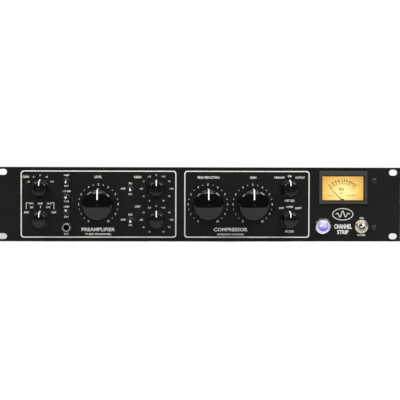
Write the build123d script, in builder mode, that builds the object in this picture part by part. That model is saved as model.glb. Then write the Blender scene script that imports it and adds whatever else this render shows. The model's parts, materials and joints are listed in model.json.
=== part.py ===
from build123d import *
import math
import os

# Two-unit, 19 inch rack channel: valve preamplifier, equaliser and levelling amplifier.
# Millimetres. The front faces -Y, +X is to the right and +Z is up. The origin is the centre of
# the four rack slots on the back face of the front panel.

# ---- Front panel and case ----
PANEL_WIDTH = 482.6
PANEL_HEIGHT = 88.1
PANEL_THICK = 3.0
SLOT_SPREAD_X = 465.1
SLOT_SPREAD_Z = 76.2
SLOT_LENGTH = 10.3
SLOT_WIDTH = 7.1
CASE_WIDTH = 430.0
CASE_HEIGHT = 86.0
CASE_DEPTH = 305.0
SHEET = 1.5
FLANGE = 10.0
FLANGE_SPAN = 400.0

# ---- Places of the controls on the panel, as (x, z) ----
LEVEL = (-119.3, 0.0)
REDUCTION = (10.9, 0.0)
OUTPUT_GAIN = (64.3, 0.0)
SMALL_ROW = 18.5
INPUT_GAIN = (-188.3, SMALL_ROW)
INPUT_SELECT = (-188.3, -SMALL_ROW)
HIGH_BOOST = (-50.5, SMALL_ROW)
LOW_BOOST = (-50.5, -SMALL_ROW)
METER_SELECT = (108.3, SMALL_ROW)
MODE_SELECT = (108.3, -SMALL_ROW)
TOGGLE_COLUMN = -157.0
SUPPLY_TOGGLE = (TOGGLE_COLUMN, 27.75)
PAD_TOGGLE = (TOGGLE_COLUMN, 9.25)
PHASE_TOGGLE = (TOGGLE_COLUMN, -9.25)
JACK = (TOGGLE_COLUMN, -27.75)
HIGH_TOGGLE = (-81.3, SMALL_ROW)
LOW_TOGGLE = (-81.3, -SMALL_ROW)
JEWEL = (148.2, -25.8)
POWER = (194.6, -26.3)
PANEL_SCREW_X = 209.5
PANEL_SCREW_Z = 28.0

# ---- Bushings, spindles and nuts ----
CONTROL_HOLE = 4.8
CONTROL_BUSHING = 4.7
SPINDLE = 3.0
RUNNING_GAP = 0.05
SEAT_GAP = 0.03
BUSHING_FRONT = -8.0
TOGGLE_BUSHING = 3.1
TOGGLE_HOLE = 3.25
TOGGLE_BORE = 2.18
TOGGLE_TILT = 12.0
TOGGLE_FRONT = -8.0
TOGGLE_PIVOT = -5.2
POWER_BUSHING = 5.5
POWER_HOLE = 5.7
POWER_BORE = 3.2
POWER_TILT = 11.0
POWER_FRONT = -7.0
POWER_PIVOT = -4.0
JACK_BORE = 3.25
JACK_BARREL = 4.7
JACK_HOLE = 4.85
JACK_FRONT = -7.5
JACK_BORE_END = 20.0
JEWEL_BARREL = 6.9
JEWEL_HOLE = 7.0

# ---- Meter ----
METER = (172.3, 20.2)
METER_WIDTH = 57.8
METER_HEIGHT = 39.0
METER_BODY_WIDTH = 55.6
METER_BODY_HEIGHT = 37.8
METER_OPENING = (49.0, 28.2)
METER_OPENING_Z = 19.3
METER_CAVITY = (52.6, 35.2)
METER_FRONT = -5.0
METER_LEDGE = -3.8
METER_LIP_BACK = -1.9
METER_LIP_SLOPE = 20.0
METER_BACK = 24.0
DIAL_FRONT = 0.6
DIAL_THICK = 0.6
NEEDLE_PIVOT = (172.3, 4.3)
NEEDLE_LENGTH = 20.5
NEEDLE_REST = 45.0

# ---- Rear connectors, as (x, z), all standing on the rear face ----
MIC_SOCKET = (-170.0, 0.0)
LINE_SOCKET = (-130.0, 0.0)
OUTPUT_SOCKET = (-80.0, 0.0)
INLET = (170.0, 0.0)
SOCKET_FLANGE = (26.0, 31.0)
SOCKET_FLANGE_THICK = 3.5
SOCKET_BARREL = 11.8
SOCKET_HOLE = 12.0
SOCKET_SCREW_X = 9.5
SOCKET_SCREW_Z = 12.0
SOCKET_FACE = CASE_DEPTH + SOCKET_FLANGE_THICK
CUP_FLOOR = 294.0
CONTACT_CIRCLE = 3.75
LATCH_Z = 11.9
INLET_FLANGE = (50.0, 33.0)
INLET_FLANGE_THICK = 2.5
INLET_FACE = CASE_DEPTH + INLET_FLANGE_THICK
INLET_BODY = (27.0, 31.0)
INLET_SCREW_X = 20.0
INLET_CAVITY_Z = 6.0
DRAWER_Z = -9.5
DRAWER_SIZE = (22.4, 7.6)
DRAWER_GAP = 0.3

# ---- Screws of the case ----
SCREW_SHANK = 1.45
SCREW_HOLE = 1.6
SCREW_HEAD = 2.85
SCREW_SINK = 3.0
SCREW_LENGTH = 6.0

# ---- Inside ----
BOARD_SIZE = (290.0, 210.0)
BOARD_CENTRE = (-50.0, 150.0)
BOARD_THICK = 1.6
STANDOFF = 8.0
VALVE_SPOTS = ((-150.0, 160.0), (-60.0, 160.0), (30.0, 160.0))
OPTICAL_CELL = (40.0, 90.0)
CAPACITOR_SPOTS = tuple((27.0 * step, 225.0) for step in range(-4, 4))
AUDIO_TRANSFORMER_SPOTS = ((135.0, 80.0), (135.0, 135.0))
MAINS_TRANSFORMER = (150.0, 215.0)

CASE_FLOOR = -CASE_HEIGHT / 2 + SHEET
CASE_ROOF = CASE_HEIGHT / 2 - SHEET
BOARD_TOP = CASE_FLOOR + STANDOFF + BOARD_THICK

SLOTS = [(sx * SLOT_SPREAD_X / 2, sz * SLOT_SPREAD_Z / 2) for sx in (-1, 1) for sz in (-1, 1)]
LARGE_CONTROLS = [LEVEL, REDUCTION, OUTPUT_GAIN]
SMALL_CONTROLS = [INPUT_GAIN, INPUT_SELECT, HIGH_BOOST, LOW_BOOST, METER_SELECT, MODE_SELECT]
TOGGLES = [SUPPLY_TOGGLE, PAD_TOGGLE, PHASE_TOGGLE, HIGH_TOGGLE, LOW_TOGGLE]
PANEL_SCREWS = [(PANEL_SCREW_X, PANEL_SCREW_Z), (PANEL_SCREW_X, -PANEL_SCREW_Z)]
INPUT_SOCKETS = [MIC_SOCKET, LINE_SOCKET]
SOCKETS = [MIC_SOCKET, LINE_SOCKET, OUTPUT_SOCKET]

SIDE_SCREW_X = CASE_WIDTH / 2 - 5.5
SIDE_SCREW_Y = (30.0, 152.5, 275.0)
EDGE_SCREW_X = 120.0
EDGE_SCREW_Y = (6.5, 298.5)
PLATE_SCREWS = [(side * SIDE_SCREW_X, y) for side in (-1, 1) for y in SIDE_SCREW_Y]
PLATE_SCREWS += [(side * EDGE_SCREW_X, y) for side in (-1, 1) for y in EDGE_SCREW_Y]
SOCKET_SCREWS = [(x + side * SOCKET_SCREW_X, z + side * SOCKET_SCREW_Z)
                 for x, z in SOCKETS for side in (-1, 1)]
INLET_SCREWS = [(INLET[0] + side * INLET_SCREW_X, INLET[1]) for side in (-1, 1)]


def facing_front(y):
    """Plane across the object at depth y, facing the front, with x to the right and z up."""
    return Plane.XZ.offset(-y)


def facing_rear(y):
    """Plane across the object at depth y, facing the rear, with z up."""
    return Plane(origin=(0, y, 0), x_dir=(-1, 0, 0), z_dir=(0, 1, 0))


def rear_spots(spots):
    """Turn (x, z) places into the rear plane's own coordinates."""
    return [(-x, z) for x, z in spots]


def turn(profile, spot, mode=Mode.ADD):
    """Turn an (r, y) outline about the front-to-back line through an (x, z) spot."""
    x, z = spot
    with BuildSketch(Plane(origin=(x, 0, z))) as half:
        with BuildLine():
            Polyline(*profile, close=True)
        make_face()
    revolve(half.sketch, axis=Axis((x, 0, z), (0, 1, 0)), mode=mode)


def turn_upright(profile, spot, mode=Mode.ADD):
    """Turn an (r, z) outline about the upright line through an (x, y) spot."""
    x, y = spot
    with BuildSketch(Plane(origin=(x, y, 0), x_dir=(1, 0, 0), z_dir=(0, -1, 0))) as half:
        with BuildLine():
            Polyline(*profile, close=True)
        make_face()
    revolve(half.sketch, axis=Axis((x, y, 0), (0, 0, 1)), mode=mode)


def block(size, spot, y_front, y_back, mode=Mode.ADD):
    """Rectangular block of (width, height) about an (x, z) spot, between two depths."""
    with BuildSketch(facing_front(y_front)) as outline:
        with Locations(spot):
            Rectangle(*size)
    extrude(outline.sketch, amount=y_front - y_back, mode=mode)


def write_piece(piece, label):
    """Label a finished piece and write it as one STEP file of the same name."""
    piece.part.label = label
    export_step(piece.part, os.path.join("parts", label + ".step"))


def panel_holes():
    """Cut, in the sketch being drawn, each hole that a control passes through."""
    with Locations(*LARGE_CONTROLS, *SMALL_CONTROLS):
        Circle(CONTROL_HOLE, mode=Mode.SUBTRACT)
    with Locations(*TOGGLES):
        Circle(TOGGLE_HOLE, mode=Mode.SUBTRACT)
    with Locations(JACK):
        Circle(JACK_HOLE, mode=Mode.SUBTRACT)
    with Locations(JEWEL):
        Circle(JEWEL_HOLE, mode=Mode.SUBTRACT)
    with Locations(POWER):
        Circle(POWER_HOLE, mode=Mode.SUBTRACT)
    with Locations(*PANEL_SCREWS):
        Circle(2.0, mode=Mode.SUBTRACT)
    with Locations(METER):
        Rectangle(METER_BODY_WIDTH + 0.4, METER_BODY_HEIGHT + 0.4, mode=Mode.SUBTRACT)


def make_front_panel():
    """Aluminium front plate with its rack slots and control holes."""
    with BuildPart() as front_panel:
        with BuildSketch(facing_front(-PANEL_THICK)) as outline:
            Rectangle(PANEL_WIDTH, PANEL_HEIGHT)
            with Locations(*SLOTS):
                SlotOverall(SLOT_LENGTH, SLOT_WIDTH, mode=Mode.SUBTRACT)
            panel_holes()
        extrude(outline.sketch, amount=-PANEL_THICK)
        rim = front_panel.faces().sort_by(Axis.Y)[0].outer_wire().edges()
        chamfer(rim, length=0.4)
    write_piece(front_panel, "front_panel")


def make_sub_panel():
    """Steel plate behind the front panel, flanged top and bottom, that holds the controls."""
    inner_width = CASE_WIDTH - 2 * SHEET
    inner_height = CASE_HEIGHT - 2 * SHEET
    with BuildPart() as sub_panel:
        with BuildSketch(facing_front(0)) as outline:
            Rectangle(inner_width, inner_height)
            panel_holes()
        extrude(outline.sketch, amount=-SHEET)
        for side in (-1, 1):
            flange_z = side * (CASE_ROOF - SHEET / 2)
            block((FLANGE_SPAN, SHEET), (0, flange_z), SHEET, SHEET + FLANGE)
        with Locations(*[(side * EDGE_SCREW_X, EDGE_SCREW_Y[0], 0) for side in (-1, 1)]):
            Cylinder(SCREW_HOLE, CASE_HEIGHT, mode=Mode.SUBTRACT)
    write_piece(sub_panel, "sub_panel")


def plate_holes(level, up):
    """Countersink the case screws' holes in a flat plate whose outer face is at this height."""
    planes = [Plane(origin=(x, y, level), z_dir=(0, 0, up)) for x, y in PLATE_SCREWS]
    with Locations(*planes):
        CounterSinkHole(SCREW_HOLE, SCREW_SINK, depth=2 * SHEET, counter_sink_angle=90)


def make_base_plate():
    """Flat steel floor of the case."""
    with BuildPart() as base_plate:
        with BuildSketch(Plane.XY.offset(-CASE_HEIGHT / 2)):
            with Locations((0, CASE_DEPTH / 2)):
                Rectangle(CASE_WIDTH, CASE_DEPTH)
        extrude(amount=SHEET)
        plate_holes(-CASE_HEIGHT / 2, -1)
    write_piece(base_plate, "base_plate")


def make_top_cover():
    """Flat steel lid with two fields of cooling slots."""
    slot_length = 32.0
    slot_width = 3.2
    with BuildPart() as top_cover:
        with BuildSketch(Plane.XY.offset(CASE_ROOF)):
            with Locations((0, CASE_DEPTH / 2)):
                Rectangle(CASE_WIDTH, CASE_DEPTH)
            with Locations((-60, 160)):
                with GridLocations(46, 9, 5, 8):
                    SlotOverall(slot_length, slot_width, mode=Mode.SUBTRACT)
            with Locations(MAINS_TRANSFORMER):
                with GridLocations(46, 9, 2, 8):
                    SlotOverall(slot_length, slot_width, mode=Mode.SUBTRACT)
        extrude(amount=SHEET)
        plate_holes(CASE_HEIGHT / 2, 1)
    write_piece(top_cover, "top_cover")


def make_side(label, side):
    """Side wall with an inward flange along its top and bottom edges."""
    wall_x = side * (CASE_WIDTH - SHEET) / 2
    flange_x = side * (CASE_WIDTH / 2 - SHEET - FLANGE / 2)
    with BuildPart() as wall:
        block((SHEET, CASE_HEIGHT - 2 * SHEET), (wall_x, 0), 0, CASE_DEPTH)
        for edge in (-1, 1):
            flange_z = edge * (CASE_ROOF - SHEET / 2)
            block((FLANGE, SHEET), (flange_x, flange_z), 2, CASE_DEPTH - 2)
        with Locations(*[(side * SIDE_SCREW_X, y, 0) for y in SIDE_SCREW_Y]):
            Cylinder(SCREW_HOLE, CASE_HEIGHT, mode=Mode.SUBTRACT)
    write_piece(wall, label)


def make_rear_panel():
    """Rear wall with its flanges and the openings for the connectors."""
    with BuildPart() as rear_panel:
        with BuildSketch(facing_rear(CASE_DEPTH)) as outline:
            Rectangle(CASE_WIDTH - 2 * SHEET, CASE_HEIGHT - 2 * SHEET)
            with Locations(*rear_spots(SOCKETS)):
                Circle(SOCKET_HOLE, mode=Mode.SUBTRACT)
            with Locations(*rear_spots([INLET])):
                Rectangle(INLET_BODY[0] + 0.5, INLET_BODY[1] + 0.5, mode=Mode.SUBTRACT)
            with Locations(*rear_spots(SOCKET_SCREWS + INLET_SCREWS)):
                Circle(SCREW_HOLE, mode=Mode.SUBTRACT)
        extrude(outline.sketch, amount=-SHEET)
        for edge in (-1, 1):
            flange_z = edge * (CASE_ROOF - SHEET / 2)
            block((FLANGE_SPAN, SHEET), (0, flange_z), CASE_DEPTH - SHEET - FLANGE, CASE_DEPTH - SHEET)
        with Locations(*[(side * EDGE_SCREW_X, EDGE_SCREW_Y[1], 0) for side in (-1, 1)]):
            Cylinder(SCREW_HOLE, CASE_HEIGHT, mode=Mode.SUBTRACT)
    write_piece(rear_panel, "rear_panel")


def make_chassis_screws():
    """Countersunk cross-head screws of the lid, the floor and the rear connectors."""
    sunk = 0.05
    head_height = SCREW_HEAD - SCREW_SHANK
    planes = []
    for up in (-1, 1):
        level = up * (CASE_HEIGHT / 2 - sunk)
        planes += [Plane(origin=(x, y, level), z_dir=(0, 0, up)) for x, y in PLATE_SCREWS]
    planes += [Plane(origin=(x, SOCKET_FACE - sunk, z), z_dir=(0, 1, 0)) for x, z in SOCKET_SCREWS]
    planes += [Plane(origin=(x, INLET_FACE - sunk, z), z_dir=(0, 1, 0)) for x, z in INLET_SCREWS]
    top = (Align.CENTER, Align.CENTER, Align.MAX)
    with BuildPart() as chassis_screws:
        with Locations(*planes):
            Cone(SCREW_SHANK, SCREW_HEAD, head_height, align=top)
            Cylinder(SCREW_SHANK, SCREW_LENGTH, align=top)
            Box(2.8, 0.7, 0.9, align=top, mode=Mode.SUBTRACT)
            Box(0.7, 2.8, 0.9, align=top, mode=Mode.SUBTRACT)
    write_piece(chassis_screws, "chassis_screws")


def make_panel_screws():
    """Two button-head socket screws at the panel's right edge."""
    head_radius = 3.6
    head_height = 2.1
    with BuildPart() as panel_screws:
        for spot in PANEL_SCREWS:
            with BuildSketch(Plane(origin=(spot[0], 0, spot[1]))) as half:
                with BuildLine():
                    top = (1.7, -PANEL_THICK - head_height)
                    rim = (head_radius, -PANEL_THICK)
                    Polyline((0, 6), (0, top[1]), top)
                    ThreePointArc(top, (2.95, -PANEL_THICK - 1.4), rim)
                    Polyline(rim, (1.9, -PANEL_THICK), (1.9, 6), (0, 6))
                make_face()
            revolve(half.sketch, axis=Axis((spot[0], 0, spot[1]), (0, 1, 0)))
        with BuildSketch(facing_front(-PANEL_THICK - head_height)) as sockets:
            with Locations(*PANEL_SCREWS):
                RegularPolygon(1.45, 6)
        extrude(sockets.sketch, amount=-1.4, mode=Mode.SUBTRACT)
    write_piece(panel_screws, "panel_screws")


def make_meter_case():
    """Moulded meter box: bezel in front of the panel, hollow body behind it."""
    pocket = (METER_OPENING[0] + 2.6, METER_OPENING[1] + 2.6)
    spread = 2 * (METER_LIP_BACK - METER_LEDGE) * math.tan(math.radians(METER_LIP_SLOPE))
    opening_spot = (METER[0], METER_OPENING_Z)
    with BuildPart() as meter_case:
        block((METER_WIDTH, METER_HEIGHT), METER, METER_FRONT, -PANEL_THICK)
        rim = meter_case.faces().sort_by(Axis.Y)[0].outer_wire().edges()
        chamfer(rim, length=0.6)
        block((METER_BODY_WIDTH, METER_BODY_HEIGHT), METER, -PANEL_THICK, METER_BACK)
        block(METER_CAVITY, METER, METER_LIP_BACK, METER_BACK - 2.0, mode=Mode.SUBTRACT)
        block(pocket, opening_spot, METER_FRONT, METER_LEDGE, mode=Mode.SUBTRACT)
        with BuildSketch(facing_front(METER_LEDGE)) as mouth:
            with Locations(opening_spot):
                Rectangle(METER_OPENING[0] + spread, METER_OPENING[1] + spread)
        lip_depth = METER_LEDGE - METER_LIP_BACK
        extrude(mouth.sketch, amount=lip_depth, taper=METER_LIP_SLOPE, mode=Mode.SUBTRACT)
    write_piece(meter_case, "meter_case")


def make_meter_window():
    """Clear window that lies on the ledge of the bezel."""
    size = (METER_OPENING[0] + 2.3, METER_OPENING[1] + 2.3)
    with BuildPart() as meter_window:
        block(size, (METER[0], METER_OPENING_Z), METER_LEDGE - 1.0, METER_LEDGE)
    write_piece(meter_window, "meter_window")


def make_meter_dial():
    """Thin scale plate, notched round the needle's hub."""
    with BuildPart() as meter_dial:
        size = (METER_CAVITY[0] - 0.4, METER_CAVITY[1] - 0.4)
        block(size, METER, DIAL_FRONT, DIAL_FRONT + DIAL_THICK)
        with BuildSketch(facing_front(DIAL_FRONT)) as notch:
            with Locations(NEEDLE_PIVOT):
                Circle(2.4)
        extrude(notch.sketch, amount=-DIAL_THICK, mode=Mode.SUBTRACT)
    write_piece(meter_dial, "meter_dial")


def make_meter_movement():
    """Magnet block of the movement with the bearing bore of the needle's staff."""
    with BuildPart() as meter_movement:
        block((26.0, 22.0), (METER[0], METER[1] - 6.2), 4.0, 18.0)
        block((10.0, 8.0), (METER[0], METER[1]), 18.0, METER_BACK - 2.0)
        turn([(0, 4), (0.98, 4), (0.98, 11), (0, 11)], NEEDLE_PIVOT, mode=Mode.SUBTRACT)
    write_piece(meter_movement, "meter_movement")


def make_meter_needle():
    """Needle on its hub and staff, leaning to the left stop."""
    blade_back = -1.0
    with BuildPart() as meter_needle:
        turn([(0, -1.6), (1.4, -1.6), (1.4, 3.4), (0.93, 3.4), (0.93, 10.8), (0, 10.8)], NEEDLE_PIVOT)
        x, z = NEEDLE_PIVOT
        lean = math.radians(NEEDLE_REST)
        along = Vector(-math.sin(lean), 0, math.cos(lean))
        blade_plane = Plane(origin=(x, blade_back, z), x_dir=along, z_dir=(0, -1, 0))
        with BuildSketch(blade_plane) as blade:
            with BuildLine():
                Polyline((0, -0.45), (NEEDLE_LENGTH, -0.2), (NEEDLE_LENGTH, 0.2), (0, 0.45), close=True)
            make_face()
        extrude(blade.sketch, amount=0.3)
    write_piece(meter_needle, "meter_needle")


def make_pilot_lamps():
    """Three alike bulbs in their caps: one behind the jewel, two behind the meter's scale."""
    spots = [(JEWEL, -4.0), ((METER[0] - 20.0, 32.0), 6.5), ((METER[0] + 20.0, 32.0), 6.5)]
    with BuildPart() as pilot_lamps:
        for (x, z), y in spots:
            with BuildSketch(Plane(origin=(x, y, z))) as half:
                with BuildLine():
                    TangentArc((0, 0), (3.0, 3.0), tangent=(1, 0))
                    Polyline((3.0, 3.0), (3.0, 8.5), (3.9, 8.5), (3.9, 15.5), (0, 15.5), (0, 0))
                make_face()
            revolve(half.sketch, axis=Axis((x, 0, z), (0, 1, 0)))
    write_piece(pilot_lamps, "pilot_lamps")


def make_jewel():
    """Ring with its threaded barrel, and the faceted jewel that sits in it."""
    with BuildPart() as jewel_bezel:
        barrel = JEWEL_BARREL
        turn([(7.3, -6.6), (8.6, -6.6), (9.4, -5.6), (9.4, -3), (barrel, -3), (barrel, 14),
              (5.6, 14), (5.6, -4.2), (7.3, -4.2)], JEWEL)
    write_piece(jewel_bezel, "jewel_bezel")
    with BuildPart() as jewel_lens:
        with BuildSketch(facing_front(-4.3)) as girdle:
            with Locations(JEWEL):
                RegularPolygon(7.2, 12)
        extrude(girdle.sketch, amount=2.2)
        with BuildSketch(facing_front(-6.5)) as crown:
            with Locations(JEWEL):
                RegularPolygon(7.2, 12)
        extrude(crown.sketch, amount=2.6, taper=38)
        turn([(0, -4.3), (5.4, -4.3), (5.4, 0), (0, 0)], JEWEL)
        turn([(0, -5), (3.6, -5), (3.6, 0), (0, 0)], JEWEL, mode=Mode.SUBTRACT)
    write_piece(jewel_lens, "jewel_lens")


def lever_plane(spot, pivot_y, tilt):
    """Plane through a lever's pivot whose x runs out along the lever, tilted up by an angle."""
    lean = math.radians(tilt)
    out = Vector(0, -math.cos(lean), math.sin(lean))
    return Plane(origin=(spot[0], pivot_y, spot[1]), x_dir=out, z_dir=(1, 0, 0))


def add_lever(plane, ball, neck, tip, reach, tail):
    """Turn a bat lever about its own line: tail, ball at the pivot, neck and rounded tip."""
    with BuildSketch(plane) as half:
        with BuildLine():
            back = (-math.sqrt(ball ** 2 - neck ** 2), neck)
            fore = (-back[0], neck)
            Polyline((-tail, 0), (-tail, neck), back)
            ThreePointArc(back, (0, ball), fore)
            Polyline(fore, (reach - tip, tip))
            ThreePointArc((reach - tip, tip), (reach - tip * (1 - math.sqrt(0.5)), tip * math.sqrt(0.5)),
                          (reach, 0))
            Line((reach, 0), (-tail, 0))
        make_face()
    revolve(half.sketch, axis=Axis(plane.origin, plane.x_dir))


def make_toggles():
    """Miniature toggle switches: bodies with their bushings, and one lever each."""
    with BuildPart() as toggle_switches:
        for spot in TOGGLES:
            block((8.0, 13.0), spot, SHEET, 12.0)
            turn([(0, SHEET), (TOGGLE_BUSHING, SHEET), (TOGGLE_BUSHING, TOGGLE_FRONT + 0.4),
                  (TOGGLE_BUSHING - 0.4, TOGGLE_FRONT), (0, TOGGLE_FRONT)], spot)
            turn([(0, TOGGLE_FRONT), (TOGGLE_BORE, TOGGLE_FRONT), (TOGGLE_BORE, 0), (0, 0)], spot,
                 mode=Mode.SUBTRACT)
            for lug in (-4.5, 0.0, 4.5):
                block((2.0, 0.8), (spot[0], spot[1] + lug), 12.0, 16.0)
    write_piece(toggle_switches, "toggle_switches")
    levers = {"supply_lever": (SUPPLY_TOGGLE, -1), "pad_lever": (PAD_TOGGLE, -1),
              "phase_lever": (PHASE_TOGGLE, 1), "high_lever": (HIGH_TOGGLE, -1),
              "low_lever": (LOW_TOGGLE, -1)}
    for label, (spot, rest) in levers.items():
        with BuildPart() as lever:
            add_lever(lever_plane(spot, TOGGLE_PIVOT, rest * TOGGLE_TILT), 2.1, 1.0, 1.5, 10.5, 4.0)
        write_piece(lever, label)


def make_power_switch():
    """Power toggle: body with its bushing, round dress nut and lever."""
    with BuildPart() as power_switch:
        block((15.0, 27.0), POWER, SHEET, 24.0)
        turn([(0, SHEET), (POWER_BUSHING, SHEET), (POWER_BUSHING, POWER_FRONT + 0.5),
              (POWER_BUSHING - 0.5, POWER_FRONT), (0, POWER_FRONT)], POWER)
        turn([(0, POWER_FRONT), (POWER_BORE, POWER_FRONT), (POWER_BORE, SHEET + 1), (0, SHEET + 1)],
             POWER, mode=Mode.SUBTRACT)
        for lug in (-7.0, 0.0, 7.0):
            block((6.0, 0.8), (POWER[0], POWER[1] + lug), 24.0, 31.0)
    write_piece(power_switch, "power_switch")
    with BuildPart() as power_nut:
        bore = POWER_BUSHING + RUNNING_GAP
        turn([(bore, -3), (8.2, -3), (8.2, -5.0), (7.4, -6.0), (bore + 0.3, -6.3), (bore, -6.0)], POWER)
    write_piece(power_nut, "power_nut")
    with BuildPart() as power_lever:
        add_lever(lever_plane(POWER, POWER_PIVOT, POWER_TILT), 3.12, 1.6, 2.25, 13.5, 4.5)
    write_piece(power_lever, "power_lever")


def make_jack():
    """Instrument socket: body and threaded barrel with the plug's bore."""
    with BuildPart() as instrument_jack:
        block((16.0, 16.0), JACK, SHEET, 24.0)
        turn([(0, SHEET), (JACK_BARREL, SHEET), (JACK_BARREL, JACK_FRONT + 0.3),
              (JACK_BARREL - 0.3, JACK_FRONT), (0, JACK_FRONT)], JACK)
        turn([(0, JACK_FRONT), (JACK_BORE, JACK_FRONT), (JACK_BORE, JACK_BORE_END),
              (0, JACK_BORE_END)], JACK, mode=Mode.SUBTRACT)
        for lug in (-5.0, 5.0):
            block((2.4, 0.8), (JACK[0] + lug, JACK[1]), 24.0, 29.0)
    write_piece(instrument_jack, "instrument_jack")


def make_panel_nuts():
    """Hexagon nuts that clamp the miniature toggles and the instrument socket."""
    with BuildPart() as panel_nuts:
        with BuildSketch(facing_front(-PANEL_THICK)) as small:
            with Locations(*TOGGLES):
                RegularPolygon(4.0, 6, major_radius=False)
                Circle(TOGGLE_BUSHING + RUNNING_GAP, mode=Mode.SUBTRACT)
        extrude(small.sketch, amount=2.0)
        with BuildSketch(facing_front(-PANEL_THICK)) as large:
            with Locations(JACK):
                RegularPolygon(6.0, 6, major_radius=False)
                Circle(JACK_BARREL + RUNNING_GAP, mode=Mode.SUBTRACT)
        extrude(large.sketch, amount=2.2)
    write_piece(panel_nuts, "panel_nuts")


def add_control_body(spot, radius, y_back, lug_angles):
    """Round control body behind the sub panel with its bushing, spindle bore and solder lugs."""
    bore = SPINDLE + RUNNING_GAP
    turn([(bore, BUSHING_FRONT), (CONTROL_BUSHING, BUSHING_FRONT), (CONTROL_BUSHING, SHEET),
          (radius, SHEET), (radius, y_back), (0, y_back), (0, 8), (bore, 8)], spot)
    for angle in lug_angles:
        reach = radius + 1.5
        x = spot[0] + reach * math.cos(math.radians(angle))
        z = spot[1] + reach * math.sin(math.radians(angle))
        block((3.4, 3.4), (x, z), y_back - 2.4, y_back - 1.6)


def make_controls():
    """Potentiometers, rotary switches and the nuts that hold them to the panel."""
    with BuildPart() as potentiometers:
        for spot in LARGE_CONTROLS:
            add_control_body(spot, 12.0, 13.0, (245, 270, 295))
    write_piece(potentiometers, "potentiometers")
    with BuildPart() as rotary_switches:
        for spot in SMALL_CONTROLS:
            add_control_body(spot, 12.5, 20.0, range(15, 360, 30))
    write_piece(rotary_switches, "rotary_switches")
    with BuildPart() as control_nuts:
        with BuildSketch(facing_front(-PANEL_THICK)) as nuts:
            with Locations(*LARGE_CONTROLS, *SMALL_CONTROLS):
                RegularPolygon(6.0, 6, major_radius=False)
                Circle(CONTROL_BUSHING + RUNNING_GAP, mode=Mode.SUBTRACT)
        extrude(nuts.sketch, amount=2.0)
    write_piece(control_nuts, "control_nuts")


def make_large_knobs():
    """Large straight knobs with a rounded rim and a domed top, each on a separate spindle."""
    hole = SPINDLE + SEAT_GAP
    knobs = {"level": LEVEL, "reduction": REDUCTION, "output_gain": OUTPUT_GAIN}
    for label, spot in knobs.items():
        with BuildPart() as knob:
            with BuildSketch(Plane(origin=(spot[0], 0, spot[1]))) as half:
                with BuildLine():
                    Polyline((9.0, -3.6), (18.0, -3.6), (18.4, -4.0), (18.0, -22.4))
                    ThreePointArc((18.0, -22.4), (17.1, -25.0), (14.8, -26.2))
                    TangentArc((0, -27.7), (14.8, -26.2), tangent=(1, 0))
                    Polyline((0, -27.7), (0, -22.0), (hole, -22.0), (hole, -10.0), (9.0, -10.0),
                             (9.0, -3.6))
                make_face()
            revolve(half.sketch, axis=Axis((spot[0], 0, spot[1]), (0, 1, 0)))
        write_piece(knob, label + "_knob")
        with BuildPart() as spindle:
            turn([(0, -21.8), (SPINDLE - 0.5, -21.8), (SPINDLE, -21.3), (SPINDLE, 7.5), (0, 7.5)], spot)
        write_piece(spindle, label + "_spindle")


def make_small_knobs():
    """Small knobs with a skirt and a rounded rim; the spindle is a solid of its own in each."""
    hole = SPINDLE + SEAT_GAP
    knobs = {"input_gain": INPUT_GAIN, "input_select": INPUT_SELECT, "high_boost": HIGH_BOOST,
             "low_boost": LOW_BOOST, "meter_select": METER_SELECT, "mode_select": MODE_SELECT}
    for label, spot in knobs.items():
        with BuildPart() as knob:
            with BuildSketch(Plane(origin=(spot[0], 0, spot[1]))) as half:
                with BuildLine():
                    Polyline((7.3, -3.5), (10.5, -3.5), (10.8, -3.8), (10.8, -4.9), (9.4, -6.4),
                             (9.0, -7.2), (8.8, -14.6))
                    ThreePointArc((8.8, -14.6), (8.2, -16.3), (6.6, -17.0))
                    TangentArc((0, -17.35), (6.6, -17.0), tangent=(1, 0))
                    Polyline((0, -17.35), (0, -14.4), (hole, -14.4), (hole, -8.7), (7.3, -8.7),
                             (7.3, -3.5))
                make_face()
            revolve(half.sketch, axis=Axis((spot[0], 0, spot[1]), (0, 1, 0)))
            turn([(0, -14.2), (SPINDLE - 0.5, -14.2), (SPINDLE, -13.7), (SPINDLE, 7.5), (0, 7.5)], spot)
        write_piece(knob, label + "_knob")


def contact_spots(socket):
    """Places of a three-way connector's contacts, seen from behind."""
    x, z = socket
    return [(x + CONTACT_CIRCLE, z), (x - CONTACT_CIRCLE, z), (x, z - CONTACT_CIRCLE)]


def socket_shell(spot):
    """Flange and barrel that every three-way chassis connector shares."""
    with BuildSketch(facing_rear(CASE_DEPTH)) as flange:
        with Locations(*rear_spots([spot])):
            RectangleRounded(*SOCKET_FLANGE, 2.5)
    extrude(flange.sketch, amount=SOCKET_FLANGE_THICK)
    turn([(0, 282), (SOCKET_BARREL, 282), (SOCKET_BARREL, CASE_DEPTH), (0, CASE_DEPTH)], spot)
    screws = [(spot[0] + side * SOCKET_SCREW_X, spot[1] + side * SOCKET_SCREW_Z) for side in (-1, 1)]
    with Locations(*[Plane(origin=(x, SOCKET_FACE, z), z_dir=(0, 1, 0)) for x, z in screws]):
        CounterSinkHole(SCREW_HOLE, SCREW_SINK, depth=SOCKET_FLANGE_THICK, counter_sink_angle=90)


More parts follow.
